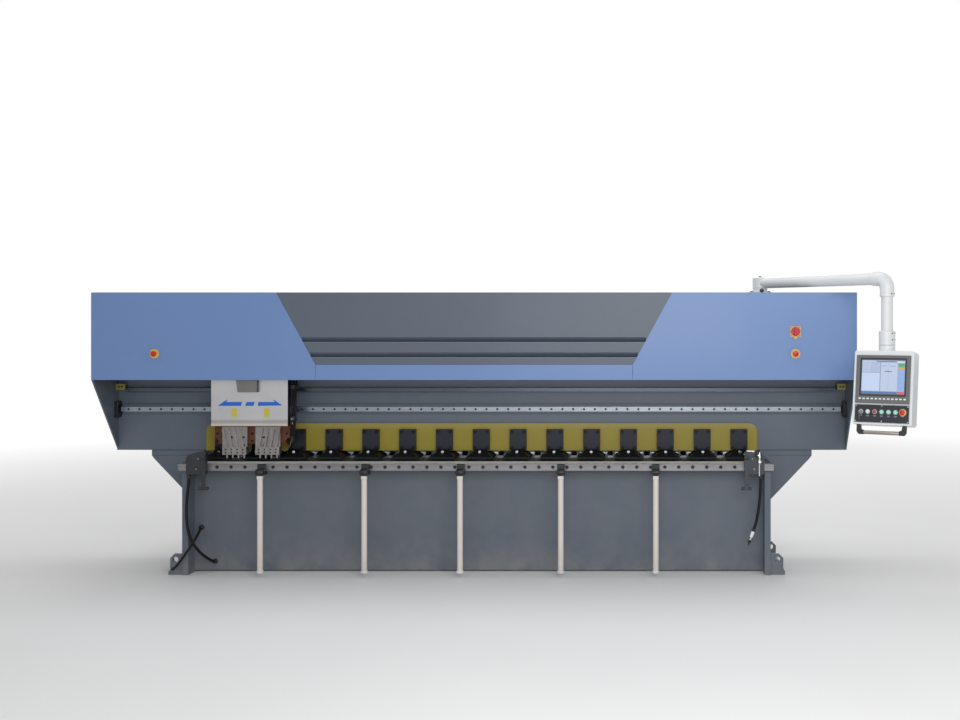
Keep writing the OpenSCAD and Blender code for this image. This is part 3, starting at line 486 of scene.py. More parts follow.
def brightMetal(name, shade, rough=0.4, stretch=(200.0, 200.0, 200.0), spread=0.25, bump=0.1,
                cloud=3.0, anisotropy=0.0, metallic=1.0, zones=()):
    # bare metal with a grain that is coarse along the axis of the smallest stretch
    tree, shader, place = newMaterial(name)
    grain = useGroup(tree, metalGrain, Vector=place, Stretch=stretch, Cloud=cloud)
    worn = useGroup(tree, edgeWear, Vector=place, Radius=0.001, Amount=0.3)
    factor = remap(tree, grain["Tone"], 0.3, 0.7, 1 - spread, 1 + spread)
    metal = shaded(tree, place, shade, zones, factor)
    surface = mixColour(tree, worn["Mask"], metal, colour(225, 226, 228))
    feed(shader, Base_Color=surface, Metallic=metallic, Anisotropic=anisotropy,
         Roughness=remap(tree, grain["Tone"], 0.3, 0.7, rough * 0.8, rough * 1.25),
         Normal=bumped(tree, bump, 0.0003, grain["Height"], worn["Normal"]))


def plasticPart(name, shade, rough=0.45, spread=0.03, grain=700.0, coat=0.0, glow=0.0, specular=0.5):
    # moulded plastic or rubber with a fine pitted skin
    tree, shader, place = newMaterial(name)
    skin = useGroup(tree, paintSkin, Vector=place, Peel=grain, Spread=spread)
    soft = useGroup(tree, edgeWear, Vector=place, Radius=0.0008, Amount=0.0)
    surface = shaded(tree, place, shade, (), skin["Tone"])
    feed(shader, Base_Color=surface, Normal=bumped(tree, 0.08, 0.0002, skin["Height"], soft["Normal"]),
         Roughness=remap(tree, skin["Height"], 0.3, 0.7, rough * 0.9, rough * 1.1),
         Coat_Weight=coat, Coat_Roughness=0.1, Specular_IOR_Level=specular)
    if glow:
        feed(shader, Emission_Color=surface, Emission_Strength=glow)


def tintedScreen(name):
    # each point's own colour, behind a smooth front
    tree, shader, _ = newMaterial(name)
    tint = addNode(tree, "Attribute", dict(attribute_name="tint")).outputs["Color"]
    feed(shader, Base_Color=tint, Emission_Color=tint, Roughness=0.25, Emission_Strength=0.12)


# finishes of this machine: sprayed paints

paintedMetal("frame_paint", (86, 95, 107), dust=0.12)
# the lighter band on the beam's face just under the covers is painted light, in the covers' shade
paintedMetal("beam_paint", (88, 98, 111), dust=0.12,
             zones=[zone((108, 119, 133), 0.004, y=(None, 0.06), z=(1.332, 1.43))])
paintedMetal("panel_paint", (90, 98, 110), dust=0.2, spread=0.06, rough=0.5)
paintedMetal("blue_paint", (107, 137, 187), rough=0.4, coat=0.1, spread=0.025, wear=0.25, peel=180.0)
paintedMetal("louvre_paint", (86, 96, 110), coat=0.05, wear=0.25)
# the lips under the louvre's slots are painted lighter than the louvre: a painted highlight on their edges
paintedMetal("lip_paint", (146, 153, 162), rough=0.34, spread=0.03, wear=0.0)
# on the press plate the paler band along the top is a painted highlight, and the deeper yellow band low
# down is painted light
paintedMetal("yellow_paint", (144, 129, 28), bare=(92, 84, 56), rough=0.45, spread=0.1, wear=0.8,
             zones=[zone((146, 134, 62), 0.012, z=(1.03, None)),
                    zone((148, 134, 22), 0.03, z=(None, 0.915))])
# the brackets at both ends are dark grey, and the left ones are painted darker than the right ones as shade
paintedMetal("black_steel", (24, 26, 31), bare=(92, 94, 98), rough=0.4, spread=0.08, wear=0.8, edge=0.0015,
             zones=[zone((34, 37, 43), 0.0004, x=(-2.2, -1.9)),
                    zone((52, 57, 64), 0.0004, x=(1.9, 2.2))])
paintedMetal("block_black", (27, 32, 43), bare=(86, 90, 98), rough=0.4, spread=0.08, wear=0.6, edge=0.0015,
             specular=0.3)
paintedMetal("shoe_black", (11, 12, 15), bare=(74, 76, 80), rough=0.55, spread=0.1, wear=0.9, edge=0.0015,
             specular=0.25)
paintedMetal("motor_paint", (40, 41, 44), rough=0.4, spread=0.04)
paintedMetal("gauge_paint", (176, 181, 186), rough=0.4, spread=0.04, dust=0.1)
paintedMetal("white_paint", (222, 225, 227), bare=(170, 172, 174), rough=0.36, spread=0.015, wear=0.2,
             coat=0.15)
paintedMetal("tube_paint", (222, 214, 206), bare=(120, 118, 114), rough=0.4, spread=0.03, wear=0.3,
             dust=0.1,
             zones=[zone((22, 23, 27), 0.0004, z=(0.7225, None)),
                    zone((226, 228, 234), 0.0006, z=(None, 0.0525))])

# bare metals; the hood's zones are painted light: the browner, brighter part low down and the darker band
# above it are painted reflections of the tools, and the greyer tapered box and the dark folded sides are
# painted shade

brightMetal("table_steel", (104, 107, 112), rough=0.42, stretch=(5.0, 240.0, 240.0), spread=0.2)
# the steel wear strip is painted near white and not metallic: a painted reflection of the bright light it
# mirrors at a grazing angle
brightMetal("strip_steel", (246, 245, 242), stretch=(3.0, 200.0, 200.0), spread=0.04, cloud=6.0,
            metallic=0.0)
brightMetal("bar_steel", (136, 135, 137), rough=0.36, stretch=(3.0, 260.0, 260.0), spread=0.22)
brightMetal("rail_steel", (148, 156, 165), rough=0.28, stretch=(2.0, 320.0, 320.0), spread=0.12,
            zones=[zone((84, 92, 102), 0.0004, z=(1.302, 1.33))])
brightMetal("rack_steel", (96, 102, 110), stretch=(40.0, 40.0, 40.0), spread=0.2)
brightMetal("screw_steel", (50, 52, 57), spread=0.3, metallic=0.6,
            zones=[zone((10, 11, 14), 0.0004, y=(-0.1, None), z=(0.8, None))])
brightMetal("screw_dark", (18, 18, 21), spread=0.3, metallic=0.4)
brightMetal("block_screw", (46, 26, 22), spread=0.3)
# the zones of the stainless are painted reflections and painted shade on the hood
brightMetal("stainless", (196, 196, 199), rough=0.32, stretch=(320.0, 320.0, 14.0), spread=0.07, cloud=3.5,
            bump=0.04, anisotropy=0.3,
            zones=[zone((128, 127, 125), 0.001, y=(None, hoodFace - 0.008)),
                   zone((150, 146, 138), 0.008, y=(None, hoodFace + 0.002), z=(1.088, 1.112)),
                   zone((208, 198, 182), 0.01, z=(None, 1.084)),
                   zone((52, 57, 62), 0.0004, x=(None, carriageX - 0.2745)),
                   zone((52, 57, 62), 0.0004, x=(carriageX + 0.2745, None))])
brightMetal("bronze", (90, 62, 50), rough=0.46, stretch=(6.0, 200.0, 200.0), spread=0.3, cloud=9.0)
brightMetal("tool_steel", (140, 136, 134), rough=0.38, stretch=(220.0, 220.0, 6.0), cloud=12.0)
brightMetal("carbide", (150, 150, 150), rough=0.24, stretch=(300.0, 300.0, 20.0), spread=0.15)
brightMetal("chrome", (214, 216, 219), rough=0.14, stretch=(20.0, 20.0, 20.0), spread=0.05, bump=0.02)
brightMetal("handle_grey", (156, 148, 141), rough=0.32, stretch=(3.0, 200.0, 200.0), spread=0.1)
brightMetal("key_steel", (138, 138, 142), rough=0.3, stretch=(60.0, 60.0, 60.0), spread=0.2)

# plastics, rubber and the screen

plasticPart("yellow_plastic", (226, 184, 60), rough=0.36)
plasticPart("plate_pale", (222, 186, 92), rough=0.4)
plasticPart("sensor_yellow", (150, 146, 76))
plasticPart("sign_yellow", (196, 182, 66))
plasticPart("sign_blue", (20, 98, 200), rough=0.4)
plasticPart("red_plastic", (190, 26, 28), rough=0.34, coat=0.1)
plasticPart("white_plastic", (226, 233, 230), rough=0.36)
plasticPart("sleeve_clear", (110, 106, 88), rough=0.3, coat=0.2)
plasticPart("green_plastic", (138, 222, 206), rough=0.3, coat=0.2, glow=0.12)
plasticPart("console_dark", (96, 98, 100), rough=0.42)
plasticPart("panel_black", (12, 18, 32), rough=0.35)
plasticPart("rim_grey", (104, 108, 116), rough=0.4)
plasticPart("ring_pale", (190, 196, 196), rough=0.3)
plasticPart("label_pale", (150, 156, 168))
plasticPart("dark_gap", (34, 39, 46), rough=0.6)
plasticPart("plug_dark", (12, 15, 24))
plasticPart("black_plastic", (20, 21, 24))
plasticPart("rubber", (8, 9, 12), rough=0.55, specular=0.25, spread=0.1, grain=400.0)
tintedScreen("screen_tint")

# nodes that keep their own shape, by finish

nodeFinishes = dict(
    frame_paint="side_frames anchor_feet columns end_plates carriage_plate gauge_frame",
    beam_paint="beam", panel_paint="base_panels", blue_paint="blue_covers",
    louvre_paint="louvre_panel top_cover", yellow_paint="press_plate", block_black="press_blocks",
    shoe_black="press_shoes", black_steel="bar_clamps lever_left lever_right", motor_paint="servo_motors",
    gauge_paint="gauge_beam grippers", white_paint="arm_post",
    tube_paint="support_arm_1 support_arm_2 support_arm_3 support_arm_4 support_arm_5",
    table_steel="table_top", strip_steel="wear_strip", bar_steel="front_bar tool_slide gripper_jaws",
    rail_steel="beam_rails bearing_blocks drive_pinion ball_screw gauge_shaft",
    screw_steel="socket_screws", stainless="carriage_cover", bronze="tool_block",
    tool_steel="tool_holders", carbide="cutters", plate_pale="switch_plates", console_dark="console_face",
)


def finishNodes():
    # the finish of each CAD node that keeps its shape
    for finish, names in nodeFinishes.items():
        for name in names.split():
            for materialSlot in nodes[name].material_slots:
                materialSlot.material = finishes[finish]


finishNodes()
print("finishes set:", len(finishes))


# cords: their points are the ones that their plain solids follow

airLine = dict(
    diameter=0.02,
    route=[(2.034, -0.292, 0.72), (2.034, -0.292, 0.695), (2.033, -0.292, 0.65), (2.031, -0.292, 0.605),
           (2.028, -0.292, 0.56), (2.023, -0.292, 0.515), (2.017, -0.292, 0.47), (2.009, -0.292, 0.425),
           (1.999, -0.292, 0.38), (1.984, -0.292, 0.336)],
    tip=(1.945, -0.292, 0.225),
)
leftLine = dict(
    diameter=0.02, stiffness="medium",
    route=[(-2.045, -0.292, 0.72), (-2.045, -0.292, 0.695), (-2.05, -0.292, 0.64), (-2.056, -0.293, 0.58),
           (-2.06, -0.295, 0.52), (-2.06, -0.297, 0.45), (-2.056, -0.297, 0.38), (-2.047, -0.294, 0.32),
           (-2.033, -0.286, 0.265), (-2.012, -0.27, 0.215), (-1.988, -0.247, 0.17),
           (-1.964, -0.218, 0.132), (-1.942, -0.188, 0.104), (-1.926, -0.164, 0.086),
           (-1.917, -0.147, 0.078), (-1.915, -0.129, 0.076)],
)
groundLine = dict(
    diameter=0.016, stiffness="limp",
    route=[(-2.015, -0.129, 0.323), (-2.015, -0.143, 0.321), (-2.017, -0.167, 0.302), (-2.022, -0.2, 0.273),
           (-2.03, -0.23, 0.246), (-2.041, -0.252, 0.219), (-2.056, -0.266, 0.19), (-2.077, -0.271, 0.159),
           (-2.1, -0.271, 0.127), (-2.122, -0.27, 0.097), (-2.146, -0.266, 0.068), (-2.168, -0.259, 0.05),
           (-2.181, -0.248, 0.042), (-2.183, -0.236, 0.04)],
)


def makeNozzle():
    # blow gun on the hose's end: black grip rings, white sleeve, metal neck and black tip
    start, end = airLine["route"][-1], airLine["tip"]
    reach = pathLength([start, end])
    sleeve = lathe([(0.0112, 0.012), (0.0118, 0.014), (0.0118, 0.05), (0.0106, 0.056)], 28)
    dark = joined(
        lathe([(0.0105, -0.006), (0.0138, -0.002), (0.0138, 0.012), (0.0112, 0.015)], 28),
        lathe([(0.0108, 0.078), (0.0112, 0.08), (0.0112, 0.094), (0.009, 0.099)], 28),
        lathe([(0.0044, 0.098), (0.0044, reach - 0.002), (0.003, reach)], 16))
    neck = joined(
        lathe([(0.0098, 0.054), (0.0098, 0.06), (0.0082, 0.064), (0.0082, 0.079)], 24),
        lathe([(0.0128, 0.056), (0.0128, 0.0605), (0.0115, 0.062)], 6))
    parts = [
        addPiece("nozzle_sleeve", aimed(sleeve, start, end), "white_plastic"),
        addPiece("nozzle_grips", aimed(dark, start, end), "black_plastic"),
        addPiece("nozzle_neck", aimed(neck, start, end), "chrome"),
    ]
    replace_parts(parts[0], "air_nozzle")
    return parts


def makeHoses():
    # each line is a round tube along the smooth curve through its route
    path = smoothPath(airLine["route"])
    hose = addPiece("air_line", sweptTube(path, airLine["diameter"] / 2, 20), "rubber")
    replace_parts(hose, "air_hose")
    makeNozzle()
    print("air line", round(pathLength(path), 3), "m")
    for name, line in (("left_air_line", leftLine), ("ground_line", groundLine)):
        path = smoothPath(line["route"])
        piece = addPiece(name, sweptTube(path, line["diameter"] / 2, 20, across=(1.0, 0.05, 0.1)), "rubber")
        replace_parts(piece, "left_lines")
        print(name, round(pathLength(path), 3), "m")


makeHoses()


# base and columns: weld beads, and the joint and lip of each shoulder plate

baseDetails = dict(
    # both ends of each bead on the right, from the outer face of the side frame there
    beads=[
        ((0.001, -0.2105, 0.03), (0.001, -0.2105, 0.146)),  # front foot
        ((0.001, -0.2355, 0.006), (0.001, -0.2355, 0.146)),
        ((0.004, -0.2105, 0.0285), (0.09, -0.2105, 0.0285)),
        ((0.001, -0.206, 0.0285), (0.001, -0.118, 0.0285)),
        ((0.026, 0.2105, 0.03), (0.026, 0.2105, 0.146)),  # rear foot
        ((0.028, 0.2105, 0.0285), (0.09, 0.2105, 0.0285)),
        ((0.026, 0.118, 0.0285), (0.026, 0.206, 0.0285)),
        ((-0.0435, -0.1235, 0.012), (-0.0435, -0.1235, 0.76)),  # front panel
        ((0.0005, -0.246, 0.765), (0.0005, 0.02, 0.765)),  # table
        ((0.0255, 0.0605, 0.03), (0.0255, 0.0605, 0.48)),  # column
    ],
    seam=((2.128, 0.0246, 0.8258), (2.4425, 0.026, 0.8282)),
    lip=((2.062, 0.0246, 0.8636), (2.444, 0.026, 0.8656)),
)


def makeBaseDetails():
    # a bead along each seam, and thin strips for the joint and the lip
    side = box["side_frames"][1, 0]
    beads = [weldBead(*(np.array(ends) + (side, 0, 0))) for ends in baseDetails["beads"]]
    addPiece("weld_beads", mirrored(joined(*beads)), "frame_paint")
    shoulder = joined(block(*baseDetails["seam"]), block(*baseDetails["lip"]))
    addPiece("shoulder_joints", mirrored(shoulder), "dark_gap")


# rear gauge: foot bolts, guide screws and rack teeth of each longitudinal beam

gaugeDetails = dict(beams=(-1.7, 0.0, 1.7), feet=(1.54, 1.66), screwPitch=0.09, guide=(0.48, 1.62),
                    rack=dict(pitch=math.pi * 0.003, middle=0.82, before=0.36, after=0.79, height=0.66))


def makeGaugeDetails():
    # bolts and screws at even steps; tooth k of a rack stands at middle + pitch * k
    beams = np.array(gaugeDetails["beams"])
    feet = [(x + dx, y, 0.012) for x in beams for dx in (-0.06, 0.06) for y in gaugeDetails["feet"]]
    addPiece("gauge_foot_bolts", repeated(hexHead(0.024, 0.012), feet), "screw_steel")
    ys = np.arange(*gaugeDetails["guide"], gaugeDetails["screwPitch"])
    screws = grid(beams, ys, box["gauge_frame"][1, 2] - 0.0005)
    addPiece("guide_screws", repeated(stud(0.0045, 0.0012, 10), screws), "screw_steel")
    rack = gaugeDetails["rack"]
    steps = np.arange(-int(rack["before"] / rack["pitch"]), int(rack["after"] / rack["pitch"]) + 1)
    tooth = alongX(prism(trapezoid(0.00744, 0.00254, -0.0005, 0.00675), 0.024))
    places = grid(beams + 0.028, rack["middle"] + rack["pitch"] * steps, rack["height"])
    addPiece("gauge_racks", repeated(tooth, places), "rail_steel")


makeBaseDetails()
makeGaugeDetails()
print("base and gauge details made")


# beam: rail plugs, rack teeth, end sensors and stops, lips under the slots painted light as a highlight,
# cover screws

beamParts = dict(
    plug=dict(radius=0.0085, first=0.04, pitch=0.08),
    rack=dict(pitch=math.pi * 0.003, root=1.30375, tip=1.297, half=2.612, depth=0.03,
              rootWidth=0.00744, tipWidth=0.00253),
    sensor=dict(height=1.337, front=-0.0195, back=0.0325),
    stops=dict(plate=(2.668, 2.694), half=0.06, front=-0.04, back=0.033, buffer=0.022),
    lips=[(1.5645, 1.147), (1.6725, 1.206)],
    endScrews=[(-0.34, (1.964, 1.766, 1.568)), ((0.06, 0.45), (0.92, 1.3, 1.68, 1.98))],
    roofScrews=dict(count=15, half=2.62, y=(-0.215, 0.455)),
    roofJoints=(-1.35, 0.0, 1.35),
)


def makeRailPlugs():
    # a thin disc in each bolt hole, at first + pitch * k to both sides of the middle
    plug = beamParts["plug"]
    radius = plug["radius"]
    xs = np.arange(plug["first"], box["beam_rails"][1, 0] - 0.03, plug["pitch"])
    shape = lathe([(radius, 0), (radius, 0.005), (radius * 0.86, 0.0052)], 14)
    places = grid([*-xs, *xs], railFace + 0.005, railHeights)
    addPiece("rail_plugs", placed(shape, "front", *places), "plug_dark")


def makeRackTeeth():
    # trapezoid teeth, one pitch apart, in step with the pinion's axis
    rack = beamParts["rack"]
    outline = trapezoid(rack["tipWidth"], rack["rootWidth"], rack["tip"], rack["root"] + 0.0005)
    steps = box["drive_pinion"][:, 0].mean() + rack["pitch"] * (np.arange(-1200, 1200) + 0.5)
    steps = steps[np.abs(steps) < rack["half"]]
    tooth = facing(outline, rack["depth"], railFace + rack["depth"])
    addPiece("rack_teeth", repeated(tooth, grid(steps, 0, 0)), "rack_steel")


def makeEndFittings():
    # rounded boxes with two round eyes; a plate, a buffer and two screws at each rail's end
    end = box["rail_fittings"][1, 0]
    sensor, stops = beamParts["sensor"], beamParts["stops"]
    z, front, back = sensor["height"], sensor["front"], sensor["back"]
    body = joined(facing(roundedRect(0.064, 0.046, 0.004) + (end - 0.035, z), back - front, back),
                  facing(roundedRect(0.05, 0.006, 0.0028) + (end - 0.035, z + 0.02), 0.0015, front))
    sensors = addPiece("end_sensors", mirrored(body), "sensor_yellow", bevel=0.0015)
    eye = joined(stud(0.0075, 0.0022, 20), lathe([(0.0035, 0), (0.0035, 0.003)], 12))
    eyes = placed(eye, "front", *grid((end - 0.024, end - 0.046), front + 0.0003, z))
    gland = placed(hexHead(0.016, 0.014), "left", (end - 0.067, 0.006, z))
    addPiece("sensor_eyes", mirrored(joined(eyes, gland)), "black_plastic")
    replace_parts(sensors, "rail_fittings")

    low, high = stops["plate"]
    half, radius = stops["half"], stops["buffer"]
    plate = facing([(low, -half), (high, -half), (high, half), (low, half)], stops["back"] - stops["front"])
    plates = repeated(plate, grid(0, stops["back"], railHeights))
    addPiece("stop_plates", mirrored(plates), "black_steel", bevel=0.002)
    buffer = lathe([(radius, 0), (radius, 0.008), (0.014, 0.012)])
    buffers = placed(buffer, "left", *grid(low + 0.0005, -0.008, railHeights))
    addPiece("stop_buffers", mirrored(buffers), "rubber")
    screws = [(low + 0.013, stops["front"] + 0.0002, z + dz) for z in railHeights for dz in (-0.045, 0.045)]
    addPiece("stop_screws", mirrored(placed(screwHead(0.006, 0.005), "front", *screws)), "screw_steel")


def makeCoverDetails():
    # strips under the slots, painted lighter than the louvre as a painted highlight, rows of screws, and
    # thin strips across the roof at its joints
    lips = [block((-half, coverFront + 0.0012, z), (half, coverFront + 0.0034, z + 0.0022))
            for z, half in beamParts["lips"]]
    addPiece("louvre_lips", joined(*lips), "lip_paint")
    end = box["beam"][1, 0] + 0.0115
    places = [place for ys, zs in beamParts["endScrews"] for place in grid(end, ys, zs)]
    heads = mirrored(placed(screwHead(0.0075, 0.005), "right", *places))
    addPiece("end_plate_screws", heads, "screw_steel")
    screws = beamParts["roofScrews"]
    xs = np.linspace(-screws["half"], screws["half"], screws["count"])
    heads = repeated(screwHead(0.0065, 0.0035), grid(xs, screws["y"], roof - 0.0005))
    addPiece("top_screws", heads, "screw_steel")
    seam = block((-0.001, -0.362, roof - 0.001), (0.001, 0.478, roof + 0.0003))
    seams = repeated(seam, grid(beamParts["roofJoints"], 0, 0))
    addPiece("top_joints", seams, "dark_gap")


makeRailPlugs()
makeRackTeeth()
makeEndFittings()
makeCoverDetails()
print("beam details made")


# carriage: signs on the hood, a black sheet painted as shade on its tapered box's side, hoses beside it,
# and screws of the tool head, all from its middle

hood = dict(
    arrows=[
        [(-0.227, 1.214), (-0.061, 1.214), (-0.052, 1.242), (-0.1645, 1.242), (-0.160, 1.261)],
        [(-0.033, 1.214), (0.029, 1.214), (0.038, 1.242), (-0.019, 1.242)],
        [(0.0585, 1.214), (0.2367, 1.217), (0.1705, 1.261), (0.1796, 1.242), (0.064, 1.242)],
    ],
    patches=[(-0.129, -0.090), (0.104, 0.143)], patchHeights=(1.135, 1.197), flat=0.0006,
    # slot: the place of a black sheet, painted shade on the right side of the tapered box
    slot=dict(left=0.0615, right=0.067, back=-0.0255, low=1.315, high=1.499),
    rivets=dict(x=0.262, z=(1.12, 1.3, 1.46)),
)
toolHead = dict(
    holder=0.119, toolPitch=0.041, clampScrews=(0.875, 0.898),
    holderScrews=[(-0.140, 0.985), (-0.057, 0.985), (-0.054, 0.927),
                  (0.090, 0.985), (0.091, 0.927), (0.182, 0.927)],
    blockScrews=[(x, z) for x in (-0.25, 0.0, 0.25) for z in (1.01, 0.956)],
)


def makeHoodDetails():
    # flat outlines, as thick as a sticker, a black sheet painted as shade on the tapered box's right side,
    # and a column of rivets at each side
    flat, rivets = hood["flat"], hood["rivets"]
    arrows = [facing(np.array(outline) + (carriageX, 0), flat, hoodFace) for outline in hood["arrows"]]
    addPiece("arrow_marks", joined(*arrows), "sign_blue", "carriage")
    low, high = hood["patchHeights"]
    patches = [block((carriageX + a, hoodFace - flat, low), (carriageX + b, hoodFace, high))
               for a, b in hood["patches"]]
    addPiece("plain_labels", joined(*patches), "sign_yellow", "carriage")
    slot = hood["slot"]
    slot = block((carriageX + slot["left"], hoodFace + slot["back"], slot["low"]),
                 (carriageX + slot["right"], hoodFace - 0.0005, slot["high"]))
    addPiece("box_slot", slot, "black_plastic", "carriage", 0.001)
    places = grid((carriageX - rivets["x"], carriageX + rivets["x"]), hoodFace + 0.0002, rivets["z"])
    addPiece("hood_rivets", placed(stud(0.0055, 0.0022), "front", *places), "stainless", "carriage")


headHoses = [
    dict(radius=0.0075, points=[
        (0.286, -0.12, 1.49), (0.289, -0.14, 1.36), (0.294, -0.165, 1.22), (0.291, -0.172, 1.1),
        (0.284, -0.165, 1.0), (0.277, -0.15, 0.955)]),
    dict(radius=0.006, points=[
        (0.299, -0.10, 1.49), (0.301, -0.12, 1.38), (0.303, -0.15, 1.26), (0.304, -0.165, 1.14),
        (0.302, -0.17, 1.04), (0.292, -0.165, 0.985), (0.276, -0.152, 0.972)]),
]
valveHose = dict(radius=0.0045, points=[
    (0.283, -0.19, 1.4), (0.285, -0.195, 1.3), (0.288, -0.198, 1.2), (0.287, -0.19, 1.12)])
mistLine = dict(radius=0.0018, points=[
    (0.281, -0.174, 0.953), (0.281, -0.186, 0.953), (0.279, -0.194, 0.942), (0.271, -0.199, 0.918),
    (0.257, -0.199, 0.898), (0.24, -0.197, 0.886), (0.229, -0.195, 0.882)])
hoseFittings = dict(
    bend=[(0.29, -0.15, 1.34), (0.29, -0.15, 0.99)],
    clips=[((0.2762, -0.2, 1.33), (0.31, -0.1, 1.362)), ((0.2762, -0.21, 1.1), (0.309, -0.14, 1.135))],
    nut=(0.293, -0.209, 1.118), valve=(0.289, -0.19, 1.078),
    foot=((0.2705, -0.175, 0.945), (0.29, -0.135, 0.99)), footCap=(0.281, -0.175, 0.968),
)


def carriageTube(hose, sides=12, across=(1.0, 0.1, 0.1)):
    # a tube along the smooth curve through points given from the carriage's middle
    path = smoothPath(np.array(hose["points"]) + (carriageX, 0, 0))
    return sweptTube(path, hose["radius"], sides, across)


def makeCarriageHoses():
    # two hoses bend between the carriage and the tool head, and one ends in a small valve
    fittings = hoseFittings
    drops = addPiece("head_hoses", joined(*[carriageTube(hose) for hose in headHoses]), "rubber", None)
    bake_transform(drops)
    addPiece("valve_hose", carriageTube(valveHose), "rubber", "carriage")
    addPiece("mist_line", carriageTube(mistLine, 8, (0.7, 0.1, 0.7)), "sleeve_clear", "tool_head")
    clips = joined(*[block(*corners) for corners in fittings["clips"]])
    addPiece("hose_clips", moved(clips, carriageX, 0, 0), "black_steel", "carriage", 0.003)
    valve = joined(placed(hexHead(0.014, 0.012), "front", fittings["nut"]),
                   moved(lathe([(0.006, 0), (0.006, 0.014), (0.0045, 0.016)], 16), *fittings["valve"]))
    addPiece("hose_valve", moved(valve, carriageX, 0, 0), "tool_steel", "carriage")
    foot = joined(block(*fittings["foot"]), placed(stud(0.009, 0.006, 20), "front", fittings["footCap"]))
    addPiece("hose_block", moved(foot, carriageX, 0, 0), "black_plastic", "tool_head", 0.002)


def makeToolScrews():
    # tool k of each holder stands at side * holder + (k - 1.5) * pitch, with two screws
    holderFace, blockFace = box["tool_holders"][0, 1], box["tool_block"][0, 1]
    holder, pitch = toolHead["holder"], toolHead["toolPitch"]
    tools = [side * holder + (k - 1.5) * pitch for side in (-1, 1) for k in range(4)]
    clamps = [(x, z) for x in tools for z in toolHead["clampScrews"]]
    for name, finish, radius, height, y, places in (
            ("clamp_bar_screws", "screw_dark", 0.0056, 0.0088, holderFace + 0.0098, clamps),
            ("holder_screws", "screw_dark", 0.0075, 0.0065, holderFace + 0.0142, toolHead["holderScrews"]),
            ("block_screws", "block_screw", 0.0085, 0.005, blockFace + 0.0002, toolHead["blockScrews"])):
        places = [(carriageX + x, y, z) for x, z in places]
        addPiece(name, placed(screwHead(radius, height), "front", *places), finish, "tool_head")
    # plugged air inlets on the block's left end
    inlet = joined(hexHead(0.015, 0.007), lathe([(0.0048, 0.006), (0.0048, 0.014), (0.0036, 0.0155)], 14))
    places = grid(box["tool_block"][0, 0] + 0.0005, -0.14, (0.99, 0.959))
    addPiece("block_inlets", placed(inlet, "left", *places), "black_plastic", "tool_head")


makeHoodDetails()
makeCarriageHoses()
makeToolScrews()
print("carriage details made")


# press: zinc pin heads on the feet

pins = dict(count=15, pitch=0.272, front=-0.0878, height=0.8655)


def makePins():
    # pin k stands at (k - (count - 1) / 2) * pitch
    pin = lathe([(0.0105, 0), (0.0105, 0.0042), (0.0088, 0.0056), (0.004, 0.0056)])
    xs = (np.arange(pins["count"]) - (pins["count"] - 1) / 2) * pins["pitch"]
    addPiece("pin_heads", placed(pin, "front", *grid(xs, pins["front"], pins["height"])), "chrome", "press")


makePins()


# front bar: pivot nuts, bracket bolts, air fittings and hose ends

barDetails = dict(
    face=-0.3118, fittings=-0.3265, pivot=(-0.3245, 0.85),
    bracketBolts=[(1.972, 0.842), (1.986, 0.768)], leftBolts=[(-2.052, 0.79), (-2.048, 0.832)],
    stackX=2.022, teeHeights=(0.868, 0.822), strap=((2.0185, -0.3145, 0.72), (2.0255, -0.3118, 0.83)),
    knob=(2.0, 0.857), valve=((2.028, -0.3225, 0.838), (2.04, -0.312, 0.884)),
    rests=[((1.91, -0.3115, 0.869), (1.924, -0.2785, 0.877)),
           ((-1.944, -0.3118, 0.876), (-1.932, -0.2785, 0.884))],
    # radius and height along the stack of air fittings
    stack=[(0.006, 0.804), (0.0085, 0.805), (0.0085, 0.812), (0.013, 0.815), (0.013, 0.829),
           (0.0095, 0.832), (0.007, 0.838), (0.007, 0.846), (0.0105, 0.849), (0.0105, 0.860),
           (0.0075, 0.863), (0.0055, 0.870), (0.0055, 0.888), (0.004, 0.890)],
)


def makeBarDetails():
    # turned profiles and small blocks at the places given for the two end brackets
    face, y, x = barDetails["face"], barDetails["fittings"], barDetails["stackX"]
    nut = placed(hexHead(0.022, 0.009), "front", (-box["lever_left"][:, 0].mean(), *barDetails["pivot"]))
    addPiece("pivot_nuts", mirrored(nut), "screw_steel")
    places = [(a, face, z) for a, z in barDetails["bracketBolts"]]
    addPiece("bracket_bolts", mirrored(placed(screwHead(0.006, 0.0028), "front", *places)), "tool_steel")
    upper, lower = barDetails["teeHeights"]
    fittings = joined(
        moved(lathe(barDetails["stack"], 20), x, y, 0), block(*barDetails["strap"]),
        placed(lathe([(0.0075, 0), (0.0075, 0.016), (0.005, 0.018)], 16), "left", (x - 0.002, y, upper)),
        placed(lathe([(0.006, 0), (0.006, 0.012), (0.0045, 0.014)], 16), "right", (x, y, lower)))
    addPiece("air_fittings", fittings, "chrome", angle=50)
    knobX, knobZ = barDetails["knob"]
    knob = lathe([(0.009, 0), (0.0105, 0.002), (0.0105, 0.02), (0.008, 0.024)], 20)
    valve = joined(moved(knob, knobX, y, knobZ), block(*barDetails["valve"]))
    addPiece("air_valve", valve, "black_plastic", bevel=0.0015)
    rests = joined(*[block(*corners) for corners in barDetails["rests"]])
    addPiece("lever_rests", rests, "tool_steel", bevel=0.002)
    places = [(a, face, z) for a, z in barDetails["leftBolts"]]
    addPiece("left_bolts", placed(hexHead(0.012, 0.006), "front", *places), "screw_steel")
    # crimped ends and hexagons, from the point where each hose begins
    crimp = joined(
        lathe([(0.0132, -0.02), (0.015, -0.018), (0.015, -0.004), (0.0118, -0.0015), (0.0118, 0.0115)], 28),
        lathe([(0.0155, -0.001), (0.0165, 0.0005), (0.0165, 0.007), (0.0155, 0.0085)], 6))
    for name, line in (("left_hose_end", leftLine), ("right_hose_end", airLine)):
        addPiece(name, moved(crimp, *line["route"][0]), "screw_steel")


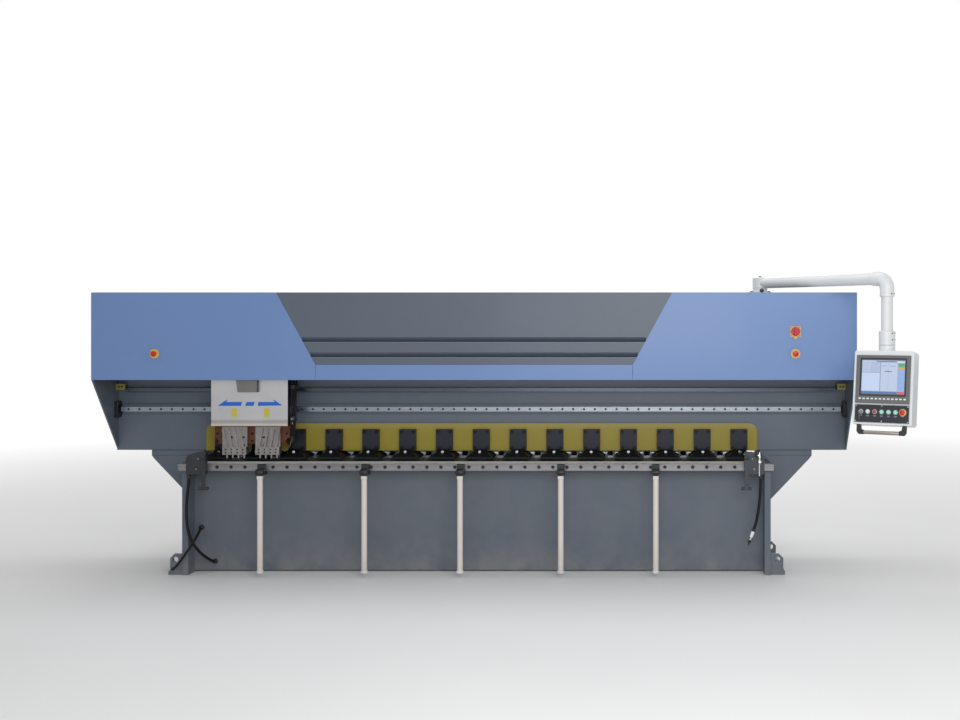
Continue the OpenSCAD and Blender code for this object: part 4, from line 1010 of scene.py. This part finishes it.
def makeGlands():
    # ribbed gland nuts where the two lines enter the front panel, and the earthing lug at the foot
    places = [(x, y + 0.0005, z) for x, y, z in (groundLine["route"][0], leftLine["route"][-1])]
    nut = lathe([(0.0125, 0), (0.0165, 0.0005), (0.0165, 0.012), (0.0138, 0.017), (0.0105, 0.019)])
    flats = lathe([(0.019, 0.0003), (0.019, 0.0063)], 6)
    addPiece("gland_nuts", placed(joined(nut, flats), "front", *places), "black_plastic")
    x, y, z = groundLine["route"][-1]
    lug = joined(placed(hexHead(0.013, 0.007), "front", (x, y + 0.0002, z + 0.006)),
                 facing(roundedRect(0.02, 0.026, 0.006) + (x, z + 0.003), 0.0015, y + 0.0006))
    addPiece("earth_lug", lug, "bronze")


# supports: hinge bolts outside the ears, a black sleeve on each hinge, a weld ring and two screws

supports = dict(count=5, hinge=0.747, ear=0.0268, weld=0.698,
                screws=[(-0.01, -0.0129, 0.7305), (0.01, -0.0129, 0.7305)])


def makeSupportDetails():
    # one set made about x = y = 0, moved to the middle of each support
    hinge, ear = supports["hinge"], supports["ear"]
    bolts = joined(placed(hexHead(0.017, 0.007), "right", (ear, 0, hinge)),
                   placed(hexHead(0.017, 0.009), "left", (-ear, 0, hinge)))
    sleeve = lathe([(0.0208, 0), (0.0222, 0.002), (0.0222, 0.032), (0.0208, 0.034)], 28)
    sleeve = placed(sleeve, "right", (-0.017, 0, hinge))
    weld = lathe([(0.0196, 0), (0.0207, 0.001), (0.0211, 0.0025), (0.0207, 0.004), (0.0196, 0.005)], 32)
    weld = moved(weld, 0, 0, supports["weld"])
    heads = placed(screwHead(0.0042, 0.003), "front", *supports["screws"])
    parts = dict(hinge_bolts=(bolts, "screw_steel"), support_sleeve=(sleeve, "black_steel"),
                 support_weld=(weld, "tube_paint"), support_screws=(heads, "screw_steel"))
    for i in range(1, supports["count"] + 1):
        x, y, _ = box[f"support_arm_{i}"].mean(0)
        for name, (shape, finish) in parts.items():
            addPiece(f"{name}_{i}", moved(shape, x, y, 0), finish, f"support_{i}")


makeBarDetails()
makeGlands()
makeSupportDetails()
print("front bar details made")


# switches on the covers: domed stops, and the isolator's wheel with its grip

coverStops = dict(radius=0.02, height=0.0135, out=0.0165, base=0.0078, markRadius=0.025,
                  markTurns=(0.5, 2.5944, 4.6888))
isolator = dict(base=0.0066, grip=(0.017, 0.058, 0.0075), gripDepth=0.0245, screws=0.029)


def mushroom(radius, height):
    # a stop button's head along +Z: hollowed under its rim, with a shallow domed top
    widths = np.array([0.55, 0.62, 0.93, 1, 1, 0.92, 0.7, 0.3])
    heights = np.array([-0.3, 0, 0.12, 0.3, 0.62, 0.84, 0.97, 1])
    return lathe(np.stack([widths * radius, heights * height], -1), 36)


def makeCoverSwitches():
    # turned heads and rings before the covers; marks stand on a circle round each stop
    base = coverFront - coverStops["base"]
    ring = lathe([(0.0158, 0), (0.0158, 0.003), (0.0148, 0.004), (0.0128, 0.004), (0.0128, 0)], 28, True)
    mark = facing([(-0.004, -0.0015), (0.004, -0.0015), (0, 0.0035)], 0.0006)
    radius, turns = coverStops["markRadius"], coverStops["markTurns"]
    for name, body in (("estop_left", "stop_left"), ("estop_right", "stop_right")):
        x, _, z = box[name].mean(0)
        head = mushroom(coverStops["radius"], coverStops["height"])
        head = joined(placed(head, "front", (x, coverFront - coverStops["out"], z)),
                      placed(lathe([(0.0105, 0), (0.0105, 0.012)]), "front", (x, coverFront - 0.0062, z)))
        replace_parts(addPiece(name + "_head", head, "red_plastic", body), name)
        addPiece(name + "_ring", placed(ring, "front", (x, base, z)), "black_plastic")
        places = [(x + radius * math.cos(a), base, z + radius * math.sin(a)) for a in turns]
        addPiece(name + "_marks", repeated(mark, places), "red_plastic")
    x, _, z = box["isolator_knob"].mean(0)
    wheel = lathe([(0.01, -0.003), (0.032, 0.0), (0.0325, 0.002), (0.0325, 0.0055), (0.031, 0.0075),
                   (0.012, 0.0078)], 48)
    grip = moved(prism(roundedRect(*isolator["grip"]), isolator["gripDepth"]), 0, 0, 0.0065)
    knob = placed(joined(wheel, grip), "front", (x, coverFront - isolator["base"], z))
    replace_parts(addPiece("isolator_grip", knob, "red_plastic", "isolator", 0.0012), "isolator_knob")
    off = isolator["screws"]
    corners = grid((x - off, x + off), coverFront - 0.0058, (z - off, z + off))
    addPiece("isolator_screws", placed(screwHead(0.0032, 0.002), "front", *corners), "screw_steel")


makeCoverSwitches()
print("cover switches made")


# console, in its own frame: x across the face, y into it, z up from its lower edge

faceIn = np.array(joints["white_button_push"]["axis"], float)
across = np.array([faceIn[1], -faceIn[0], 0.0])
across /= np.linalg.norm(across)
upward = np.cross(across, faceIn)
consoleOrigin = np.array(joints["key_turn"]["pos_m"], float) + 0.138 * across - 0.085 * upward
console = dict(
    width=0.395, height=0.49, depth=0.14, corner=0.014,
    buttonZ=0.085, pitch=0.046, face=-0.004,
    backCover=dict(half=0.1775, low=0.02, high=0.46, screws=((-0.165, 0.165), (0.035, 0.245, 0.445))),
    surround=dict(halfWidth=0.1535, low=0.189, high=0.4395, border=0.0088, front=-0.0089, back=-0.0078),
    softKeys=dict(count=12, half=0.149, y=-0.0078, z=0.1705),
    panel=dict(width=0.352, height=0.11, middle=0.073,
               screws=[(-0.171, 0.023), (-0.171, 0.123), (0.171, 0.023), (0.171, 0.123),
                       (0, 0.0235), (0, 0.1225)]),
    rim=dict(halfWidth=0.1795, low=0.0145, high=0.1315, border=0.0028, front=-0.0062, back=-0.0035),
)


def addToConsole(name, shape, finish, body="console", bevel=0.0, segments=2, angle=35):
    # point = origin + x * across + y * faceIn + z * upward
    shape = shape[0] @ np.stack([across, faceIn, upward]) + consoleOrigin, shape[1]
    return addPiece(name, shape, finish, body, bevel, segments, angle)


def makeConsoleCase():
    # a rounded rectangle carried through the depth, and a turned collar above it
    width, height, depth = console["width"], console["height"], console["depth"]
    outline = roundedRect(width, height, console["corner"], 6) + (0, height / 2)
    case = facing(outline, depth, depth)
    case = addToConsole("console_case", case, "white_paint", bevel=0.004, segments=3)
    x, y = joints["console_swivel"]["pos_m"][:2]
    collar = lathe([(0.0535, 1.6), (0.0535, 1.655), (0.052, 1.6635), (0.034, 1.6635), (0.034, 1.72)], 48)
    collar = addPiece("console_collar", moved(collar, x, y, 0), "white_paint", "console", 0.001)
    for piece in (case, collar):
        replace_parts(piece, "console")
    cover = console["backCover"]
    half = cover["half"]
    plate = block((-half, depth - 0.0005, cover["low"]), (half, depth + 0.0012, cover["high"]))
    addToConsole("console_back", plate, "white_paint", bevel=0.001)
    xs, zs = cover["screws"]
    places = grid(xs, depth + 0.0008, zs)
    addToConsole("console_back_screws", placed(screwHead(0.0045, 0.0025), "rear", *places), "screw_steel")


def frameRing(halfWidth, low, high, border, front, back):
    # four bars round an opening
    return joined(
        block((-halfWidth, front, high - border), (halfWidth, back, high)),
        block((-halfWidth, front, low), (halfWidth, back, low + border)),
        block((-halfWidth, front, low + border), (-halfWidth + border, back, high - border)),
        block((halfWidth - border, front, low + border), (halfWidth, back, high - border)))


# plain layout of the screen: left, low, right, high and colour of each field, and of the lines on them
screenFields = [
    (-0.143, 0.203, 0.143, 0.424, (150, 166, 196)), (-0.143, 0.413, 0.143, 0.424, (186, 198, 222)),
    (-0.045, 0.414, 0.088, 0.4195, (58, 66, 96)), (-0.141, 0.346, -0.080, 0.411, (176, 188, 212)),
    (-0.077, 0.346, -0.023, 0.411, (170, 180, 206)), (-0.141, 0.222, -0.023, 0.343, (186, 202, 228)),
    (-0.017, 0.222, 0.094, 0.411, (180, 192, 214)), (0.097, 0.408, 0.141, 0.4225, (206, 226, 236)),
    (0.099, 0.389, 0.141, 0.4065, (72, 158, 138)), (0.099, 0.380, 0.141, 0.388, (126, 158, 78)),
    (0.099, 0.366, 0.141, 0.379, (206, 158, 78)), (0.099, 0.222, 0.141, 0.364, (142, 168, 216)),
    (0.099, 0.203, 0.141, 0.220, (208, 96, 98)), (-0.143, 0.203, 0.096, 0.219, (84, 118, 164)),
]
screenLines = [
    (-0.1105, 0.352, -0.1095, 0.405, (142, 152, 186)), (-0.050, 0.352, -0.049, 0.405, (142, 152, 186)),
    (-0.135, 0.360, -0.086, 0.3615, (146, 158, 190)), (-0.072, 0.360, -0.028, 0.3615, (146, 158, 190)),
    (-0.141, 0.344, -0.023, 0.3455, (96, 104, 132)), (0.034, 0.228, 0.0355, 0.405, (150, 162, 192)),
    (0.010, 0.350, 0.056, 0.3545, (70, 76, 100)), (-0.018, 0.222, -0.0165, 0.411, (120, 128, 158)),
    *[(0.101, z, 0.139, z + 0.0012, (112, 136, 190)) for z in (0.334, 0.306, 0.278, 0.250)],
    (-0.006, 0.386, 0.024, 0.3885, (118, 126, 156)), (0.044, 0.386, 0.082, 0.3885, (118, 126, 156)),
]


def makeScreen():
    # each field is a thin block whose colour its points carry
    layers = [(screenFields[:1], 0.0), (screenFields[1:], 0.0003), (screenLines, 0.0006)]
    flats = [(flat, lift) for rows, lift in layers for flat in rows]
    blocks = [block((a, -0.0054 - lift, low), (b, -0.005, high)) for (a, low, b, high, _), lift in flats]
    piece = addToConsole("screen_layout", joined(*blocks), "screen_tint")
    tint = piece.data.attributes.new("tint", "FLOAT_COLOR", "POINT")
    tint.data.foreach_set("color", np.repeat([colour(*flat[4]) for flat, _ in flats], 8, axis=0).ravel())
    addToConsole("screen_surround", frameRing(**console["surround"]), "panel_black", bevel=0.0003)
    keys = console["softKeys"]
    places = grid(np.linspace(-keys["half"], keys["half"], keys["count"]), keys["y"], keys["z"])
    soft = repeated(facing(roundedRect(0.0165, 0.009, 0.003, 3), 0.0022), places)
    addToConsole("soft_keys", soft, "white_plastic", bevel=0.0006)


buttons = dict(white_button=(-2, "white_plastic", "white_push"), red_button=(-1, "red_plastic", "red_push"),
               green_button_1=(0, "green_plastic", "green_push_1"),
               green_button_2=(1, "green_plastic", "green_push_2"),
               green_button_3=(2, "green_plastic", "green_push_3"))


def makeButtons():
    # seven stations in a row, at station * pitch, each with a turned cap or head and a ring
    z, pitch, face = console["buttonZ"], console["pitch"], console["face"]
    seat = face - 0.001
    panel = console["panel"]
    outline = roundedRect(panel["width"], panel["height"], 0.003) + (0, panel["middle"])
    addToConsole("button_panel", facing(outline, 0.0012, face), "panel_black", bevel=0.0004)
    addToConsole("panel_rim", frameRing(**console["rim"]), "rim_grey", bevel=0.0006)
    places = [(x, seat, height) for x, height in panel["screws"]]
    addToConsole("panel_screws", placed(screwHead(0.0034, 0.0016), "front", *places), "chrome")
    cap = lathe([(0.0078, -0.012), (0.0078, -0.0006), (0.0108, 0), (0.0108, 0.0036), (0.0098, 0.0047),
                 (0.0062, 0.0052), (0.0056, 0.0046)], 32)
    for name, (station, finish, body) in buttons.items():
        shape = placed(cap, "front", (station * pitch, -0.0088, z))
        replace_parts(addToConsole(name + "_cap", shape, finish, body, angle=50), name)
    ring = lathe([(0.0152, 0), (0.0152, 0.0028), (0.0138, 0.0044), (0.0118, 0.0044), (0.0118, 0)], 32, True)
    rings = placed(ring, "front", *grid(pitch * np.arange(-3, 3), seat, z))
    addToConsole("button_rings", rings, "ring_pale", angle=50)
    labels = []
    for width, height, last, low in ((0.021, 0.0028, 3, 0.0595), (0.013, 0.0022, 2, 0.0545)):
        label = facing(roundedRect(width, height, 0.001, 2), 0.0004)
        labels.append(repeated(label, grid(pitch * np.arange(-last, last + 1), seat, low)))
    addToConsole("button_labels", joined(*labels), "label_pale")
    x = 3 * pitch
    ring = lathe([(0.0235, 0), (0.0235, 0.0022), (0.022, 0.003), (0.0125, 0.003), (0.0125, 0)], 40, True)
    addToConsole("stop_ring", placed(ring, "front", (x, seat, z)), "yellow_plastic", angle=50)
    head = joined(mushroom(0.018, 0.0107), lathe([(0.0078, -0.0185), (0.0078, 0.001)]))
    head = placed(head, "front", (x, -0.0128, z))
    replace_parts(addToConsole("console_stop_head", head, "red_plastic", "console_push"), "console_stop")


def makeKey():
    # barrel, blade, bow, and a ring that holds a spare key and a tag
    x, z = -3 * console["pitch"], console["buttonZ"]
    barrel = lathe([(0.0078, -0.012), (0.0078, -0.0008), (0.0105, 0), (0.0105, 0.0045), (0.0088, 0.006),
                    (0.005, 0.006)], 28)
    turn = np.linspace(0, 6.2832, 25)
    path = np.stack([0.002 * np.sin(turn), 0.0065 * np.sin(turn), 0.0095 * np.cos(turn)], -1)
    path += (x, -0.0405, z - 0.01)
    shape = joined(
        placed(barrel, "front", (x, -0.009, z)),
        block((x - 0.0011, -0.03, z - 0.0028), (x + 0.0011, -0.0148, z + 0.0028)),
        moved(alongX(prism(roundedRect(0.016, 0.02, 0.006, 5), 0.0024)), x - 0.0012, -0.036, z),
        sweptTube(path, 0.0008, 8, across=(1, 0.01, 0.02)),
        moved(alongX(prism(roundedRect(0.013, 0.016, 0.005, 5), 0.002)), x - 0.001, -0.0405, z - 0.027),
        block((x - 0.0009, -0.0435, z - 0.056), (x + 0.0009, -0.0375, z - 0.034)))
    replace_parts(addToConsole("key_and_barrel", shape, "key_steel", "key", angle=40), "key_switch")


handle = dict(
    bracket=[(-0.164, 0.0005), (-0.164, -0.046), (-0.150, -0.064), (-0.116, -0.064), (-0.116, -0.036),
             (-0.134, -0.030), (-0.138, 0.0005)],
    bracketWidth=0.027, back=0.0235, tube=(-0.119, 0.0095, -0.05), radius=0.0125, length=0.238,
)


def makeHandle():
    # two bent plates with a turned tube between them
    brackets = mirrored(facing(handle["bracket"], handle["bracketWidth"], handle["back"]))
    ends = addToConsole("handle_brackets", brackets, "black_plastic", bevel=0.003, segments=3)
    radius, length = handle["radius"], handle["length"]
    rim = radius - 0.0003
    tube = lathe([(rim, 0), (radius, 0.001), (radius, length - 0.001), (rim, length)], 32)
    tube = addToConsole("handle_tube", placed(tube, "right", handle["tube"]), "handle_grey")
    for piece in (ends, tube):
        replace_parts(piece, "console_handle")


makeConsoleCase()
makeScreen()
makeButtons()
makeKey()
makeHandle()
print("console made")


# swing arm: hub with its cap, straight tube, cast elbow, drop tube and lower collar

arm = dict(height=2.105, radius=0.04, cast=0.0475, bend=0.068, low=1.6645, collarTop=1.757, hubDepth=0.08,
           screwTurns=(-62.0, -28.0, 62.0), collarScrews=(1.7, 1.742), castScrews=2.004)


def radialScrew(centre, radius, degrees, z):
    # a small screw head that stands out of a round part of that radius
    turn = math.radians(degrees)
    out = np.array([math.cos(turn), math.sin(turn), 0.0])
    start = np.array([*centre[:2], z]) + radius * out
    return aimed(screwHead(0.0045, 0.003), start, start + out)


def makeArm():
    # tubes along straight lines, and a thicker one round the quarter bend at the corner
    hub = np.array(joints["arm_swing"]["pos_m"], float)
    end = np.array(joints["console_swivel"]["pos_m"], float)
    reach = np.linalg.norm(end[:2] - hub[:2])
    out = np.array([*(end[:2] - hub[:2]) / reach, 0.0])
    up = np.array([0.0, 0.0, 1.0])
    side = np.cross(out, up)
    centre = np.array([hub[0], hub[1], arm["height"]])
    corner = centre + out * (reach - arm["bend"]) - up * arm["bend"]
    # quarter bend: corner + bend * (sin t * out + cos t * up)
    turn = np.linspace(0, math.pi / 2, 13)[:, None]
    bend = corner + arm["bend"] * (np.sin(turn) * out + np.cos(turn) * up)
    straight = centre + out * np.array([[0.03], [reach - arm["bend"] - 0.02]])
    drop = [corner + out * arm["bend"], (end[0], end[1], arm["low"] + 0.02)]
    pipe = joined(sweptTube(straight, arm["radius"], 40, across=side),
                  sweptTube(drop, arm["radius"] - 0.0015, 40, across=side))
    lead = bend[0] - out * np.array([[0.045], [0.043]])
    tail = bend[-1] - up * np.array([[0.051], [0.053]])
    path = np.concatenate([lead, bend, tail])
    sizes = np.full(len(path), arm["cast"])
    sizes[[0, -1]] -= 0.002
    low, top = arm["low"], arm["collarTop"]
    collar = lathe([(0.0505, low), (0.053, low + 0.0015), (0.053, top - 0.004), (0.0495, top),
                    (0.041, top)], 48)
    high = arm["height"] + 0.04
    foot = high - arm["hubDepth"]
    profile = [(0.051, foot + 0.0005), (0.055, foot + 0.0045), (0.055, high - 0.005), (0.051, high),
               (0.04, high + 0.001), (0.038, high + 0.004), (0.012, high + 0.005)]
    parts = dict(arm_pipe=pipe, arm_elbow=sweptTube(path, sizes, 40, across=side),
                 arm_collar=moved(collar, end[0], end[1], 0),
                 arm_hub=moved(lathe(profile, 48), hub[0], hub[1], 0))
    for name, shape in parts.items():
        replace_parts(addPiece(name, shape, "white_paint", "arm"), "arm_tube")
    heads = [radialScrew(end, 0.0525, turn, z) for turn in arm["screwTurns"] for z in arm["collarScrews"]]
    heads += [radialScrew(end, 0.047, turn, arm["castScrews"]) for turn in arm["screwTurns"]]
    bolt = moved(hexHead(0.018, 0.007), hub[0], hub[1], high + 0.0045)
    addPiece("arm_screws", joined(bolt, *heads), "screw_steel", "arm")


def makePostDetails():
    # six bolts, 60 degrees apart, round the flange, and a turned knob
    x, y = joints["arm_swing"]["pos_m"][:2]
    turns = np.radians(np.arange(6) * 60 + 30)
    bolts = [(x + 0.074 * math.cos(a), y + 0.074 * math.sin(a), roof + 0.0117) for a in turns]
    addPiece("flange_bolts", repeated(hexHead(0.014, 0.008), bolts), "screw_steel")
    knob = lathe([(0.006, 0), (0.006, 0.02), (0.0125, 0.022), (0.015, 0.026), (0.015, 0.04),
                  (0.0125, 0.045), (0.006, 0.047)], 20)
    addPiece("clamp_knob", placed(knob, "front", (x + 0.004, y - 0.0545, 2.0475)), "black_plastic")


makeArm()
makePostDetails()
print("arm made")


# floor, world and lamps

studio = dict(floor=0.86, fade=(3.5, 11.0), sky=0.42, reach=90.0)
lamps = [
    dict(name="key", place=(2.6, -6.6, 3.6), aim=(0.7, 0.0, 1.3), size=(4.2, 2.4), power=145),
    dict(name="fill", place=(0.9, -6.2, 1.8), aim=(0.5, 0.0, 1.2), size=(3.0, 0.9), power=46),
    dict(name="top", place=(0.0, 0.5, 6.0), aim=(0.0, 0.3, 1.0), size=(6.0, 3.0), power=120),
    dict(name="rear", place=(1.0, 7.0, 4.0), aim=(0.0, 0.0, 1.0), size=(5.0, 2.5), power=120),
]


def makeFloor():
    # pale close by, and white where the camera sees it far away
    size = studio["reach"]
    mesh = bpy.data.meshes.new("floor")
    corners = [(-size, -size, 0), (size, -size, 0), (size, size, 0), (-size, size, 0)]
    mesh.from_pydata(corners, [], [(0, 1, 2, 3)])
    floor = bpy.data.objects.new("floor", mesh)
    scene.collection.objects.link(floor)
    tree, shader, place = newMaterial("pale_floor")
    pale = studio["floor"]
    tone = remap(tree, noise(tree, place, 0.7, 2.0), 0.3, 0.7, pale * 0.985, pale * 1.015)
    grey = addNode(tree, "CombineColor", None, i0=tone, i1=tone, i2=tone).outputs[0]
    feed(shader, Base_Color=grey, Roughness=0.7)
    fade = remap(tree, vectorNode(tree, "LENGTH", place)["Value"], *studio["fade"])
    seen = addNode(tree, "LightPath").outputs["Is Camera Ray"]
    white = addNode(tree, "Emission", None, Color=(1, 1, 1, 1), Strength=1.0).outputs[0]
    mix = addNode(tree, "MixShader", None, i0=times(tree, fade, seen), i1=shader.outputs[0], i2=white)
    feed(tree.nodes["Material Output"], Surface=mix.outputs[0])
    mesh.materials.append(finishes["pale_floor"])


def makeWorld():
    # plain white where it is seen or mirrored, and dimmer as a light
    world = scene.world = bpy.data.worlds.new("studio")
    world.use_nodes = True
    tree = world.node_tree
    path = addNode(tree, "LightPath").outputs
    shown = mathNode(tree, "MAXIMUM", path["Is Camera Ray"], path["Is Transmission Ray"])
    shown = mathNode(tree, "MAXIMUM", shown, path["Is Glossy Ray"])
    strength = remap(tree, shown, 0.0, 1.0, studio["sky"], 1.0)
    feed(tree.nodes["Background"], Color=(1, 1, 1, 1), Strength=strength)


def makeLamps():
    # soft panels, each turned from straight down towards its aim
    for lamp in lamps:
        data = bpy.data.lights.new(lamp["name"], "AREA")
        data.shape = "RECTANGLE"
        data.size, data.size_y = lamp["size"]
        data.energy = lamp["power"]
        light = bpy.data.objects.new(lamp["name"], data)
        light.location = lamp["place"]
        aim = np.array(lamp["aim"]) - lamp["place"]
        tilt = math.atan2(math.hypot(aim[0], aim[1]), -aim[2])
        light.rotation_euler = (tilt, 0, math.atan2(-aim[0], aim[1]))
        scene.collection.objects.link(light)


makeFloor()
makeWorld()
makeLamps()
scene.view_settings.view_transform = "Standard"
print("studio ready")
